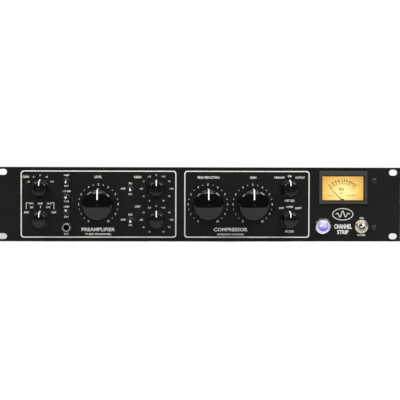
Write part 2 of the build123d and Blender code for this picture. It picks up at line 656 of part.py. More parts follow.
def make_sockets():
    """Two input sockets with their contact cores and latches, and the output socket."""
    with BuildPart() as input_jacks:
        for spot in INPUT_SOCKETS:
            socket_shell(spot)
            turn([(0, CUP_FLOOR), (9.5, CUP_FLOOR), (9.5, SOCKET_FACE), (0, SOCKET_FACE)], spot,
                 mode=Mode.SUBTRACT)
            block((7.0, 3.4), (spot[0], spot[1] + LATCH_Z), CASE_DEPTH + 0.6, SOCKET_FACE,
                  mode=Mode.SUBTRACT)
    write_piece(input_jacks, "input_jacks")
    with BuildPart() as socket_cores:
        for spot in INPUT_SOCKETS:
            turn([(0, CUP_FLOOR), (6.9, CUP_FLOOR), (6.9, SOCKET_FACE - 0.7),
                  (6.5, SOCKET_FACE - 0.3), (0, SOCKET_FACE - 0.3)], spot)
            for hole in contact_spots(spot):
                turn([(0, 296), (1.3, 296), (1.3, SOCKET_FACE), (0, SOCKET_FACE)], hole,
                     mode=Mode.SUBTRACT)
    write_piece(socket_cores, "socket_cores")
    for label, spot in (("mic_latch", MIC_SOCKET), ("line_latch", LINE_SOCKET)):
        with BuildPart() as latch:
            block((6.4, 2.8), (spot[0], spot[1] + LATCH_Z), SOCKET_FACE - 1.1, SOCKET_FACE + 2.1)
            chamfer(latch.faces().sort_by(Axis.Y)[-1].edges(), length=0.4)
        write_piece(latch, label)
    with BuildPart() as output_jack:
        socket_shell(OUTPUT_SOCKET)
        turn([(0, CUP_FLOOR), (8.3, CUP_FLOOR), (8.3, SOCKET_FACE), (0, SOCKET_FACE)], OUTPUT_SOCKET,
             mode=Mode.SUBTRACT)
    write_piece(output_jack, "output_jack")


def make_mains_inlet():
    """Mains inlet with its plug cavity, and the pocket of the fuse drawer."""
    x, z = INLET
    cavity_z = z + INLET_CAVITY_Z
    pocket = (DRAWER_SIZE[0] + 2 * DRAWER_GAP, DRAWER_SIZE[1] + 2 * DRAWER_GAP)
    with BuildPart() as mains_inlet:
        with BuildSketch(facing_rear(CASE_DEPTH)) as flange:
            with Locations(*rear_spots([INLET])):
                RectangleRounded(INLET_FLANGE[0], INLET_FLANGE[1], 5.0)
        extrude(flange.sketch, amount=INLET_FLANGE_THICK)
        block(INLET_BODY, INLET, 279.0, CASE_DEPTH)
        with BuildSketch(facing_rear(INLET_FACE)) as cavity:
            with Locations((-x, cavity_z)):
                Rectangle(24.4, 16.2)
                chamfer(cavity.vertices().group_by(Axis.Z)[-1], length=4.0)
        extrude(cavity.sketch, amount=-16.0, mode=Mode.SUBTRACT)
        block(pocket, (x, z + DRAWER_Z), 283.0, INLET_FACE, mode=Mode.SUBTRACT)
        planes = [Plane(origin=(sx, INLET_FACE, sz), z_dir=(0, 1, 0)) for sx, sz in INLET_SCREWS]
        with Locations(*planes):
            CounterSinkHole(SCREW_HOLE, SCREW_SINK, depth=INLET_FLANGE_THICK, counter_sink_angle=90)
    write_piece(mains_inlet, "mains_inlet")
    with BuildPart() as fuse_drawer:
        drawer_spot = (x, z + DRAWER_Z)
        block(DRAWER_SIZE, drawer_spot, 283.6, INLET_FACE + 1.6)
        block((6.0, 6.0), (x, z + DRAWER_Z + 0.9), 285.4, 306.0, mode=Mode.SUBTRACT)
        block((9.0, 1.6), (x, z + DRAWER_Z + 2.2), INLET_FACE + 0.6, INLET_FACE + 1.6, mode=Mode.SUBTRACT)
    write_piece(fuse_drawer, "fuse_drawer")
    with BuildPart() as mains_fuse:
        turn([(0, 285.6), (2.6, 285.6), (2.6, 291.2), (2.4, 291.2), (2.4, 300.2), (2.6, 300.2),
              (2.6, 305.8), (0, 305.8)], (x, z + DRAWER_Z + 0.6))
    write_piece(mains_fuse, "mains_fuse")


def make_connector_pins():
    """Round pins of the output socket and flat pins of the mains inlet."""
    x, z = INLET
    cavity_floor = INLET_FACE - 16.0
    cavity_z = z + INLET_CAVITY_Z
    with BuildPart() as connector_pins:
        for spot in contact_spots(OUTPUT_SOCKET):
            turn([(0, 294), (1.2, 294), (1.2, 305.4), (0.6, 306), (0, 306)], spot)
        for pin in ((x - 7.0, cavity_z - 2.0), (x, cavity_z + 2.0), (x + 7.0, cavity_z - 2.0)):
            block((2.0, 4.0), pin, cavity_floor, INLET_FACE - 2.0)
    write_piece(connector_pins, "connector_pins")


def make_board():
    """Main circuit board and the pillars that carry it."""
    with BuildPart() as main_board:
        with BuildSketch(Plane.XY.offset(CASE_FLOOR + STANDOFF)):
            with Locations(BOARD_CENTRE):
                Rectangle(*BOARD_SIZE)
        extrude(amount=BOARD_THICK)
    write_piece(main_board, "main_board")
    with BuildPart() as board_pillars:
        with BuildSketch(Plane.XY.offset(CASE_FLOOR)):
            with Locations(BOARD_CENTRE):
                with GridLocations(BOARD_SIZE[0] / 2 - 8, BOARD_SIZE[1] - 16, 3, 2):
                    RegularPolygon(3.0, 6)
        extrude(amount=STANDOFF)
    write_piece(board_pillars, "board_pillars")


def make_valves():
    """Three valves in their ring sockets on the board."""
    seat = BOARD_TOP + 9.0
    with BuildPart() as valve_sockets:
        for spot in VALVE_SPOTS:
            turn_upright([(0, BOARD_TOP), (11, BOARD_TOP), (11, seat), (0, seat)], spot)
    write_piece(valve_sockets, "valve_sockets")
    with BuildPart() as valves:
        for x, y in VALVE_SPOTS:
            with BuildSketch(Plane(origin=(x, y, seat), x_dir=(1, 0, 0), z_dir=(0, -1, 0))) as half:
                with BuildLine():
                    Polyline((0, 0), (9.6, 0), (10.4, 2.5), (10.4, 38))
                    ThreePointArc((10.4, 38), (7.6, 44), (1.8, 46.6))
                    Polyline((1.8, 46.6), (0.9, 50), (0, 50.6), (0, 0))
                make_face()
            revolve(half.sketch, axis=Axis((x, y, 0), (0, 0, 1)))
    write_piece(valves, "valves")


def make_optical_cell():
    """Aluminium can of the light-controlled attenuator, on its plug-in base."""
    top = BOARD_TOP + 58.0
    with BuildPart() as optical_cell:
        turn_upright([(0, BOARD_TOP), (15.0, BOARD_TOP), (15.0, BOARD_TOP + 9), (16.5, BOARD_TOP + 9),
                      (16.5, top - 1.5), (15.0, top), (0, top)], OPTICAL_CELL)
    write_piece(optical_cell, "optical_cell")


def make_transformers():
    """Ring-core mains transformer and two audio transformers."""
    x, y = MAINS_TRANSFORMER
    with BuildPart() as mains_transformer:
        turn_upright([(13, CASE_FLOOR), (41, CASE_FLOOR), (45, CASE_FLOOR + 4), (45, CASE_FLOOR + 34),
                      (41, CASE_FLOOR + 38), (22, CASE_FLOOR + 38), (20, CASE_FLOOR + 36),
                      (13, CASE_FLOOR + 36)], (x, y))
        turn_upright([(0, CASE_FLOOR), (13, CASE_FLOOR), (13, CASE_FLOOR + 36), (18, CASE_FLOOR + 36),
                      (18, CASE_FLOOR + 38), (5, CASE_FLOOR + 38), (5, CASE_FLOOR + 42),
                      (0, CASE_FLOOR + 42)], (x, y))
    write_piece(mains_transformer, "mains_transformer")
    with BuildPart() as audio_transformers:
        for spot in AUDIO_TRANSFORMER_SPOTS:
            with BuildSketch(Plane.XY.offset(CASE_FLOOR)) as core:
                with Locations(spot):
                    Rectangle(40, 16)
            extrude(core.sketch, amount=36)
            with BuildSketch(Plane.XY.offset(CASE_FLOOR + 7)) as coil:
                with Locations(spot):
                    RectangleRounded(26, 34, 3)
            extrude(coil.sketch, amount=22)
    write_piece(audio_transformers, "audio_transformers")


def make_filter_capacitors():
    """Row of smoothing capacitors standing on the board."""
    top = BOARD_TOP + 36.0
    with BuildPart() as filter_capacitors:
        for spot in CAPACITOR_SPOTS:
            turn_upright([(0, BOARD_TOP), (11, BOARD_TOP), (11, top - 1), (10, top), (0, top)], spot)
    write_piece(filter_capacitors, "filter_capacitors")


os.makedirs("parts", exist_ok=True)
make_front_panel()
make_sub_panel()
make_base_plate()
make_top_cover()
make_side("left_side", -1)
make_side("right_side", 1)
make_rear_panel()
make_chassis_screws()
make_panel_screws()
make_meter_case()
make_meter_window()
make_meter_dial()
make_meter_movement()
make_meter_needle()
make_pilot_lamps()
make_jewel()
make_toggles()
make_power_switch()
make_jack()
make_panel_nuts()
make_controls()
make_large_knobs()
make_small_knobs()
make_sockets()
make_mains_inlet()
make_connector_pins()
make_board()
make_valves()
make_optical_cell()
make_transformers()
make_filter_capacitors()
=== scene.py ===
"""Looks of a two-unit rack channel strip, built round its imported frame.

Each class below makes or dresses one sub-assembly: the panel print, the badge, the knob
pointers, the meter scale, the rear words, the frame's finishes, and the studio. The print
is laid out in millimetres, which MM turns into the metres of the scene.
"""

import json
import logging
import math
from dataclasses import dataclass
from enum import Enum

import bmesh
import bpy
from mathutils import Matrix, Vector
from mathutils.bvhtree import BVHTree


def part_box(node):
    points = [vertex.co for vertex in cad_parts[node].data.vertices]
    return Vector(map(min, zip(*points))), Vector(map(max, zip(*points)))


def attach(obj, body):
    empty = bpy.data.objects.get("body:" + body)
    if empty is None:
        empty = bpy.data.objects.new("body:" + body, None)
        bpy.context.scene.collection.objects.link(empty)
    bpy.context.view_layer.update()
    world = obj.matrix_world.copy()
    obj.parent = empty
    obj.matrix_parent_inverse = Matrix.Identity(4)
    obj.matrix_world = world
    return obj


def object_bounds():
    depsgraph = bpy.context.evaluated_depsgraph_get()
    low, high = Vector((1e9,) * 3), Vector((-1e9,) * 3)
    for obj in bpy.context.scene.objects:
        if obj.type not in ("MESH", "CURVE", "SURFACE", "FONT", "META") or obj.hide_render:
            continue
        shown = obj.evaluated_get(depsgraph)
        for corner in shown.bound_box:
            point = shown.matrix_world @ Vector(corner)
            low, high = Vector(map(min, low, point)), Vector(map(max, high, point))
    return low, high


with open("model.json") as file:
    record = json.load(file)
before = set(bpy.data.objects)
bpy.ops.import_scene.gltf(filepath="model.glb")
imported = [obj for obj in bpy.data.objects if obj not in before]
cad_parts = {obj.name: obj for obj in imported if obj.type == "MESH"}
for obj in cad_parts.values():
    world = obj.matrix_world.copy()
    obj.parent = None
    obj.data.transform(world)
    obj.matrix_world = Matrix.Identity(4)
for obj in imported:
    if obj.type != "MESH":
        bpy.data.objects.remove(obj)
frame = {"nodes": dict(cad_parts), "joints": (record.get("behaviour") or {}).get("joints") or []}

LOG = logging.getLogger("channel_strip")
FRAME_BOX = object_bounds()
MM = 0.001

Colour = tuple[float, float, float, float]
Spot = tuple[float, float]
Place = tuple[float, float, float]
Socket = bpy.types.NodeSocket


class Facing(Enum):
    """Side of the unit that a print is read from."""

    FRONT = 1
    REAR = -1


def middle(node: str) -> Vector:
    """Centre of a frame node, in millimetres.

    Args:
        node: Name of the frame node.

    Returns:
        The middle of its box.
    """
    low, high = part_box(node)
    return (low + high) / (2 * MM)


# ---------------------------------------------------------------- materials


class NodeGraph:
    """A material's node tree, with short calls that add and join its nodes."""

    def __init__(self, name: str) -> None:
        """Start a material that holds one shader.

        Args:
            name: Name of the new material.
        """
        self.material = bpy.data.materials.new(name)
        self.material.use_nodes = True
        self.tree = self.material.node_tree
        self.tree.nodes.clear()
        output = self.add("ShaderNodeOutputMaterial")
        self.shader = self.add("ShaderNodeBsdfPrincipled")
        self.tree.links.new(self.shader.outputs[0], output.inputs["Surface"])
        self.place = self.add("ShaderNodeTexCoord").outputs["Object"]

    def add(self, kind: str, inputs: dict | None = None, **settings: object) -> bpy.types.Node:
        """Add a node.

        Args:
            kind: Blender's type name of the node.
            inputs: Value or socket for each named or numbered input.
            settings: Properties of the node itself.

        Returns:
            The new node.
        """
        node = self.tree.nodes.new(kind)
        for key, value in settings.items():
            setattr(node, key, value)
        for key, value in (inputs or {}).items():
            self.feed(node, key, value)
        return node

    def feed(self, node: bpy.types.Node, key: str | int, value: object) -> None:
        """Link a socket to an input, or set the input's own value.

        Args:
            node: Node that takes the value.
            key: Name or number of the input.
            value: Socket, number, vector or colour.
        """
        if isinstance(value, bpy.types.NodeSocket):
            self.tree.links.new(value, node.inputs[key])
        else:
            node.inputs[key].default_value = value

    def shade(self, **values: object) -> None:
        """Set the shader's inputs, with an underscore for each space in a name."""
        for key, value in values.items():
            self.feed(self.shader, key.replace("_", " "), value)

    def blend(self, share: object, first: object, second: object) -> Socket:
        """Mix two colours.

        Args:
            share: Share of the second colour.
            first: First colour.
            second: Second colour.

        Returns:
            Socket of the mixed colour.
        """
        node = self.add("ShaderNodeMix", {0: share, 6: first, 7: second}, data_type="RGBA")
        return node.outputs[2]

    def number(self, operation: str, first: object, second: object) -> Socket:
        """Result of one operation on two numbers."""
        return self.add("ShaderNodeMath", {0: first, 1: second}, operation=operation).outputs[0]

    def vector(self, operation: str, first: object, second: object) -> Socket:
        """Result of one operation on two vectors."""
        return self.add("ShaderNodeVectorMath", {0: first, 1: second}, operation=operation).outputs[0]

    def length(self, value: Socket) -> Socket:
        """Length of a vector."""
        return self.add("ShaderNodeVectorMath", {0: value}, operation="LENGTH").outputs["Value"]

    def offset(self, centre: object, scale: Place) -> Socket:
        """Vector from a point to the surface, scaled along each axis.

        Args:
            centre: The point, in metres.
            scale: Factor along each axis.

        Returns:
            Socket of the scaled vector.
        """
        return self.vector("MULTIPLY", self.vector("SUBTRACT", self.place, centre), scale)

    def spread(self, value: object, low: float, high: float, start: float, end: float) -> Socket:
        """Stretch a value from one range to another.

        Args:
            value: Socket to stretch.
            low: Value that gives start.
            high: Value that gives end.
            start: First end of the new range.
            end: Other end of the new range.

        Returns:
            Socket of the new value.
        """
        inputs = {"Value": value, "From Min": low, "From Max": high, "To Min": start, "To Max": end}
        return self.add("ShaderNodeMapRange", inputs).outputs["Result"]

    def noise(self, scale: float, detail: float, stretch: Place = (1, 1, 1)) -> Socket:
        """Cloudy value from 0 to 1.

        Args:
            scale: Clouds in a metre, near enough.
            detail: Octaves of finer clouds.
            stretch: Scale along each axis, for brushed marks.

        Returns:
            Socket of the cloud's value.
        """
        mapped = self.add("ShaderNodeMapping", {"Vector": self.place, "Scale": stretch})
        inputs = {"Vector": mapped.outputs[0], "Scale": scale, "Detail": detail}
        return self.add("ShaderNodeTexNoise", inputs).outputs[0]

    def worn_edges(self, width: float, share: float) -> Socket:
        """Mask of the sharp edges.

        Args:
            width: Reach of the worn band from the edge, in metres.
            share: Mask's value at the edge.

        Returns:
            Socket of the mask.
        """
        rounded = self.add("ShaderNodeBevel", {"Radius": width}, samples=4)
        flat = self.add("ShaderNodeNewGeometry")
        normals = {0: rounded.outputs[0], 1: flat.outputs["Normal"]}
        dot = self.add("ShaderNodeVectorMath", normals, operation="DOT_PRODUCT")
        return self.spread(dot.outputs["Value"], 0.985, 0.8, 0.0, share)

    def relief(self, height: object, depth: float) -> None:
        """Raise the surface by a value.

        Args:
            height: Socket of the height, from 0 to 1.
            depth: Height in metres where that value is 1.
        """
        bump = self.add("ShaderNodeBump", {"Height": height, "Distance": depth, "Strength": 1.0})
        self.shade(Normal=bump.outputs[0])


def tinted(colour: Colour, factor: float) -> Colour:
    """Colour made darker or lighter by a factor."""
    return (colour[0] * factor, colour[1] * factor, colour[2] * factor, 1.0)


@dataclass(frozen=True)
class Finish:
    """A solid finish: mottled colour, uneven gloss, fine relief and worn edges.

    Attributes:
        name: Name of the material.
        colour: Main colour.
        wear: Colour that shows at worn edges; in a cut jewel, the painted highlight colour of its bright
            facets.
        roughness: Middle of the roughness range.
        metallic: One for bare metal.
        level: Specular level.
        coat: Weight of a clear coat.
        mottle: Share by which the colour varies.
        mottle_scale: Clouds of that variation in a metre.
        grain_scale: Marks of the fine relief in a metre.
        grain_depth: Height of the fine relief, in metres.
        stretch: Scale of the fine relief along each axis.
        lustre: Half the range of the roughness.
        edge_width: Reach of the worn band, in metres.
        edge_share: Share of the worn-edge colour at an edge.
    """

    name: str
    colour: Colour
    wear: Colour
    roughness: float
    metallic: float = 0.0
    level: float = 0.5
    coat: float = 0.0
    mottle: float = 0.12
    mottle_scale: float = 60.0
    grain_scale: float = 1500.0
    grain_depth: float = 0.00002
    stretch: Place = (1, 1, 1)
    lustre: float = 0.05
    edge_width: float = 0.0004
    edge_share: float = 0.5

    def material(self) -> bpy.types.Material:
        """Build the material, or give the one already built.

        Returns:
            The material of this finish.
        """
        made = bpy.data.materials.get(self.name)
        if made is None:
            graph = NodeGraph(self.name)
            self.fill(graph)
            made = graph.material
        return made

    def fill(self, graph: NodeGraph) -> None:
        """Add the nodes of this finish.

        Args:
            graph: Tree of the new material.
        """
        cloud = graph.noise(self.mottle_scale, 4.0)
        grain = graph.noise(self.grain_scale, 3.0, self.stretch)
        shades = tinted(self.colour, 1 - self.mottle), tinted(self.colour, 1 + self.mottle)
        body = graph.blend(cloud, *shades)
        worn = graph.worn_edges(self.edge_width, self.edge_share)
        rough = graph.spread(cloud, 0.3, 0.7, self.roughness - self.lustre, self.roughness + self.lustre)
        graph.shade(Base_Color=graph.blend(worn, body, self.wear), Roughness=rough, Metallic=self.metallic)
        graph.shade(Specular_IOR_Level=self.level, Coat_Weight=self.coat, Coat_Roughness=0.06)
        graph.relief(grain, self.grain_depth)


@dataclass(frozen=True)
class BoredMetal(Finish):
    """Bright metal with painted shade inside its bore.

    Attributes:
        node: Frame node whose middle the bore runs through.
        bore: Radius of the bore and of its painted shade, in metres.
    """

    node: str = ""
    bore: float = 0.003

    # Width of the painted shade's soft edge, and the painted shade's colour.
    BLUR = 0.0001
    SHADOW = (0.012, 0.012, 0.012, 1)

    def fill(self, graph: NodeGraph) -> None:
        """Add the nodes of the metal and paint shade into its bore.

        Args:
            graph: Tree of the new material.
        """
        super().fill(graph)
        metal = graph.shader.inputs["Base Color"].links[0].from_socket
        away = graph.length(graph.offset(middle(self.node) * MM, (1, 0, 1)))
        # Painted shade: dark inside the bore's radius, round the node's middle.
        inside = graph.spread(away, self.bore, self.bore + self.BLUR, 1.0, 0.0)
        graph.shade(Base_Color=graph.blend(inside, metal, self.SHADOW))


@dataclass(frozen=True)
class ClearSheet(Finish):
    """A clear moulding or glass with faint waves and a little haze."""

    def fill(self, graph: NodeGraph) -> None:
        """Add the nodes of the clear sheet.

        Args:
            graph: Tree of the new material.
        """
        haze = graph.noise(self.mottle_scale, 3.0)
        rough = graph.spread(haze, 0.3, 0.7, self.roughness, self.roughness + self.lustre)
        graph.shade(Base_Color=graph.blend(haze, self.colour, self.wear), Roughness=rough)
        graph.shade(Transmission_Weight=1.0, IOR=1.46)
        graph.relief(haze, self.grain_depth)


@dataclass(frozen=True)
class LitDial(Finish):
    """Translucent meter card, lit from behind and fading towards its top and sides.

    Attributes:
        node: Frame node whose box sets the fade.
        rim: Colour of the light at the far corners.
        glow: Strength of the light.
    """

    node: str = "meter_dial"
    rim: Colour = (0.70, 0.36, 0.07, 1.0)
    glow: float = 1.0

    DROP = 0.35
    SQUASH = 0.78
    UNLIT = (0.02, 0.015, 0.005, 1)

    def fill(self, graph: NodeGraph) -> None:
        """Add the nodes of the lit card.

        Args:
            graph: Tree of the new material.
        """
        low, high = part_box(self.node)
        centre, half = (low + high) / 2, (high - low) / 2
        centre.z -= half.z * self.DROP
        far = graph.length(graph.offset(centre, (1.0 / half.x, 0.0, self.SQUASH / half.z)))
        near_light = graph.blend(graph.spread(far, 0.25, 0.85, 0, 1), self.colour, self.wear)
        light = graph.blend(graph.spread(far, 0.75, 1.35, 0, 1), near_light, self.rim)
        fibre = graph.noise(self.grain_scale, 3.0)
        fibres = graph.spread(fibre, 0.3, 0.7, 0.0, self.mottle)
        light = graph.blend(fibres, light, tinted(self.rim, 1.2))
        rough = graph.spread(fibre, 0.3, 0.7, self.roughness - self.lustre, self.roughness + self.lustre)
        graph.shade(Base_Color=graph.blend(0.75, light, self.UNLIT), Roughness=rough)
        graph.shade(Emission_Color=light, Emission_Strength=self.glow)
        graph.relief(fibre, self.grain_depth)


@dataclass(frozen=True)
class CutJewel(Finish):
    """Cut and lit glass with painted highlights: its facets differ in brightness by a painted glint
    pattern.

    Attributes:
        glow: Strength of the light.
        low: Facet value below which the main colour shows.
        high: Facet value above which the bright colour, a painted highlight, shows.
        node: Frame node of a jewel with painted highlights and painted shade, or empty for painted facet
            glints alone.
    """

    glow: float = 1.0
    low: float = 0.35
    high: float = 0.6
    node: str = ""

    def shading(self, graph: NodeGraph) -> Socket:
        """Share of the bright colour as painted light: a pale middle lit more towards its top, painted
        shade on the deep foot and in the dim ring round the middle, and painted highlights on the top and
        the rim.

        Args:
            graph: Tree of the new material.

        Returns:
            Socket of the share.
        """
        low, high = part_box(self.node)
        half = (high.x - low.x) / 2
        scaled = graph.offset((low + high) / 2, (1 / half, 0, 1 / half))
        away = graph.length(scaled)
        height = graph.add("ShaderNodeSeparateXYZ", {0: scaled}).outputs["Z"]
        # Painted light and shade: lit more towards the top, a dim ring painted round the middle, painted
        # highlights on the top and the rim.
        painted_core_light = graph.spread(height, -0.45, 0.15, 0.0, 0.85)
        groove_shade = graph.spread(away, 0.58, 0.72, 1.0, 0.2)
        rim = graph.spread(away, 0.82, 0.95, 0.0, 0.9)
        crown_highlight = graph.spread(height, 0.4, 0.75, 0.0, 1.0)
        outer = graph.number("MAXIMUM", rim, crown_highlight)
        return graph.number("MAXIMUM", graph.number("MULTIPLY", painted_core_light, groove_shade), outer)

    def fill(self, graph: NodeGraph) -> None:
        """Add the nodes of the jewel.

        Args:
            graph: Tree of the new material.
        """
        # The cells give each facet its own painted brightness, a painted glint pattern.
        cells = graph.add("ShaderNodeTexVoronoi", {"Vector": graph.place, "Scale": self.mottle_scale})
        facet_glint = graph.add("ShaderNodeSeparateColor", {0: cells.outputs["Color"]}).outputs[0]
        share = graph.spread(facet_glint, self.low, self.high, 0.0, 1.0)
        if self.node:
            facets = graph.spread(facet_glint, 0.0, 1.0, 0.55, 1.0)
            share = graph.number("MULTIPLY", facets, self.shading(graph))
        # The bright colour mixed in here is the painted highlight colour.
        light = graph.blend(share, self.colour, self.wear)
        rough = graph.spread(facet_glint, 0.0, 1.0, self.roughness, self.roughness + self.lustre)
        graph.shade(Base_Color=graph.blend(0.8, light, (0, 0, 0, 1)), Roughness=rough)
        graph.shade(Coat_Weight=0.5, Coat_Roughness=0.03, Specular_IOR_Level=0.4)
        graph.shade(Emission_Color=light, Emission_Strength=self.glow)
        graph.relief(cells.outputs["Distance"], self.grain_depth)


PANEL_COAT = Finish("panel_powder_coat", (0.0050, 0.0050, 0.0044, 1), (0.018, 0.018, 0.017, 1), 0.5,
                    level=0.13, mottle_scale=30.0, grain_scale=1600.0, grain_depth=0.00003,
                    edge_width=0.0005, edge_share=0.4)
PRINT_INK = Finish("panel_ink", (0.66, 0.66, 0.63, 1), (0.56, 0.56, 0.54, 1), 0.55, level=0.3,
                   mottle=0.06, mottle_scale=400.0, grain_depth=0.000008, edge_width=0.00005,
                   edge_share=0.2)
KNOB_GLOSS = Finish("knob_gloss", (0.0025, 0.0025, 0.0027, 1), (0.02, 0.02, 0.02, 1), 0.055, level=0.35,
                    mottle_scale=120.0, grain_scale=260.0, grain_depth=0.000003, lustre=0.02,
                    edge_width=0.0003, edge_share=0.3)
KNOB_SATIN = Finish("knob_satin", (0.0045, 0.0045, 0.0047, 1), (0.02, 0.02, 0.02, 1), 0.17, level=0.30,
                    mottle_scale=120.0, grain_scale=260.0, grain_depth=0.000003, lustre=0.03,
                    edge_width=0.0003, edge_share=0.3)
POINTER_INK = Finish("pointer_ink", (0.86, 0.86, 0.84, 1), (0.7, 0.7, 0.68, 1), 0.35, mottle=0.04,
                     mottle_scale=300.0, grain_depth=0.000006, edge_width=0.00005, edge_share=0.2)
BEZEL_SATIN = Finish("bezel_satin", (0.023, 0.022, 0.021, 1), (0.045, 0.043, 0.041, 1), 0.42,
                     mottle=0.15, grain_scale=2600.0, grain_depth=0.00003)
MOULDING = Finish("moulded_nylon", (0.012, 0.012, 0.012, 1), (0.05, 0.05, 0.05, 1), 0.45, mottle=0.2,
                  grain_scale=2400.0, grain_depth=0.00003)
CHROME = Finish("chrome_plate", (0.78, 0.78, 0.79, 1), (0.92, 0.92, 0.92, 1), 0.12, metallic=1.0,
                mottle=0.05, grain_scale=900.0, grain_depth=0.000004, lustre=0.04)
NICKEL = Finish("nickel_plate", (0.62, 0.56, 0.46, 1), (0.80, 0.75, 0.66, 1), 0.28, metallic=1.0,
                mottle=0.1, grain_scale=700.0, grain_depth=0.00001, stretch=(1, 6, 1))
ZINC = Finish("zinc_sheet", (0.46, 0.47, 0.48, 1), (0.68, 0.69, 0.70, 1), 0.4, metallic=0.9,
              mottle=0.09, mottle_scale=110.0, grain_scale=900.0, grain_depth=0.00002,
              stretch=(0.15, 1, 1), lustre=0.04)
# The jack and power switch plating get painted shade inside their bores.
JACK_PLATING = BoredMetal("jack_plating", (0.55, 0.55, 0.56, 1), (0.70, 0.70, 0.70, 1), 0.2,
                          metallic=1.0, mottle=0.05, grain_depth=0.000006, node="instrument_jack",
                          bore=0.0036)
SWITCH_PLATING = BoredMetal("switch_plating", (0.50, 0.43, 0.34, 1), (0.74, 0.68, 0.58, 1), 0.3,
                            metallic=1.0, grain_depth=0.00001, node="power_switch", bore=0.0034)
SCREW_ZINC = Finish("screw_zinc", (0.55, 0.55, 0.54, 1), (0.8, 0.8, 0.78, 1), 0.32, metallic=1.0,
                    mottle=0.12, grain_depth=0.00001)
BLACK_STEEL = Finish("blackened_steel", (0.02, 0.02, 0.021, 1), (0.16, 0.16, 0.16, 1), 0.36,
                     metallic=0.5, mottle=0.2, grain_depth=0.00002, edge_share=0.45)
SHAFT_STEEL = Finish("turned_steel", (0.5, 0.5, 0.5, 1), (0.7, 0.7, 0.7, 1), 0.3, metallic=1.0,
                     grain_depth=0.00001, stretch=(1, 12, 1))
PHENOLIC = Finish("phenolic_brown", (0.10, 0.045, 0.02, 1), (0.2, 0.1, 0.05, 1), 0.5, mottle=0.25,
                  mottle_scale=300.0)
CERAMIC = Finish("glazed_ceramic", (0.72, 0.69, 0.62, 1), (0.85, 0.83, 0.78, 1), 0.25, coat=0.4,
                 mottle=0.06)
SOLDER_MASK = Finish("solder_mask", (0.012, 0.085, 0.03, 1), (0.25, 0.2, 0.08, 1), 0.35, coat=0.3,
                     mottle=0.3, mottle_scale=260.0, grain_scale=500.0, grain_depth=0.00004)
CORE_STEEL = Finish("core_laminate", (0.12, 0.115, 0.11, 1), (0.35, 0.34, 0.32, 1), 0.45, metallic=0.8,
                    mottle=0.2, grain_scale=900.0, grain_depth=0.0001, stretch=(0.05, 1, 0.05))
CAN_METAL = Finish("drawn_aluminium", (0.70, 0.71, 0.72, 1), (0.85, 0.85, 0.86, 1), 0.3, metallic=1.0,
                   stretch=(1, 1, 8))
NEEDLE_BLACK = Finish("needle_enamel", (0.012, 0.010, 0.008, 1), (0.05, 0.05, 0.05, 1), 0.45,
                      grain_depth=0.00001)
DIAL_INK = Finish("dial_ink", (0.018, 0.014, 0.004, 1), (0.05, 0.04, 0.01, 1), 0.6,
                  grain_depth=0.000005, edge_width=0.00004, edge_share=0.2)
RED_ZONE = Finish("dial_red_ink", (0.26, 0.035, 0.01, 1), (0.3, 0.06, 0.02, 1), 0.6,
                  grain_depth=0.000005, edge_width=0.00004, edge_share=0.2)
METER_PANE = ClearSheet("meter_pane", (0.98, 0.97, 0.95, 1), (0.95, 0.94, 0.9, 1), 0.02,
                        mottle_scale=40.0, grain_depth=0.00001, lustre=0.03)
VALVE_GLASS = ClearSheet("valve_glass", (0.95, 0.96, 0.95, 1), (0.85, 0.86, 0.85, 1), 0.02,
                         mottle_scale=90.0, grain_depth=0.00002, lustre=0.04)
DIAL_CARD = LitDial("dial_card", (1.0, 0.88, 0.36, 1), (0.92, 0.58, 0.13, 1), 0.6, grain_scale=2600.0,
                    grain_depth=0.00001, mottle=0.12)
# The lamps glow; their bright facets, and the jewel's top and rim, are painted highlights.
LAMP_GLOW = CutJewel("lamp_glow", (1.0, 0.62, 0.25, 1), (1.0, 0.8, 0.5, 1), 0.2, mottle_scale=300.0,
                     glow=1.5)
JEWEL_GLOW = CutJewel("cut_violet_glass", (0.15, 0.12, 0.55, 1), (0.86, 0.87, 1.0, 1), 0.05,
                      mottle_scale=420.0, grain_depth=0.0002, glow=0.95, node="jewel_lens")
PALE_FLOOR = Finish("pale_floor", (0.68, 0.68, 0.68, 1), (0.68, 0.68, 0.68, 1), 0.75, level=0.1,
                    mottle=0.01, mottle_scale=3.0, grain_scale=200.0, grain_depth=0.00005,
                    edge_share=0.0)
BLACK_PRINT = Finish("rear_ink", (0.02, 0.02, 0.02, 1), (0.04, 0.04, 0.04, 1), 0.5,
                     grain_depth=0.000008, edge_width=0.00005, edge_share=0.2)


def dress(piece: bpy.types.Object, finish: Finish) -> None:
    """Give an object one finish in place of what it has.

    Args:
        piece: Object to dress.
        finish: Finish for all its faces.
    """
    if not piece.material_slots:
        piece.data.materials.append(None)
    for place in piece.material_slots:
        place.material = finish.material()


# ---------------------------------------------------------------- mesh work


def settle(mesh: bmesh.types.BMesh, name: str, finish: Finish, body: str) -> bpy.types.Object:
    """Turn a finished bmesh into a dressed piece that rides on a body.

    Args:
        mesh: Closed shapes, in metres.
        name: Name of the piece.
        finish: Finish of the piece.
        body: Frame body that it moves with.

    Returns:
        The new piece.
    """
    bmesh.ops.recalc_face_normals(mesh, faces=mesh.faces)
    data = bpy.data.meshes.new(name)
    mesh.to_mesh(data)
    mesh.free()
    piece = bpy.data.objects.new(name, data)
    bpy.context.scene.collection.objects.link(piece)
    dress(piece, finish)
    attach(piece, body)
    return piece


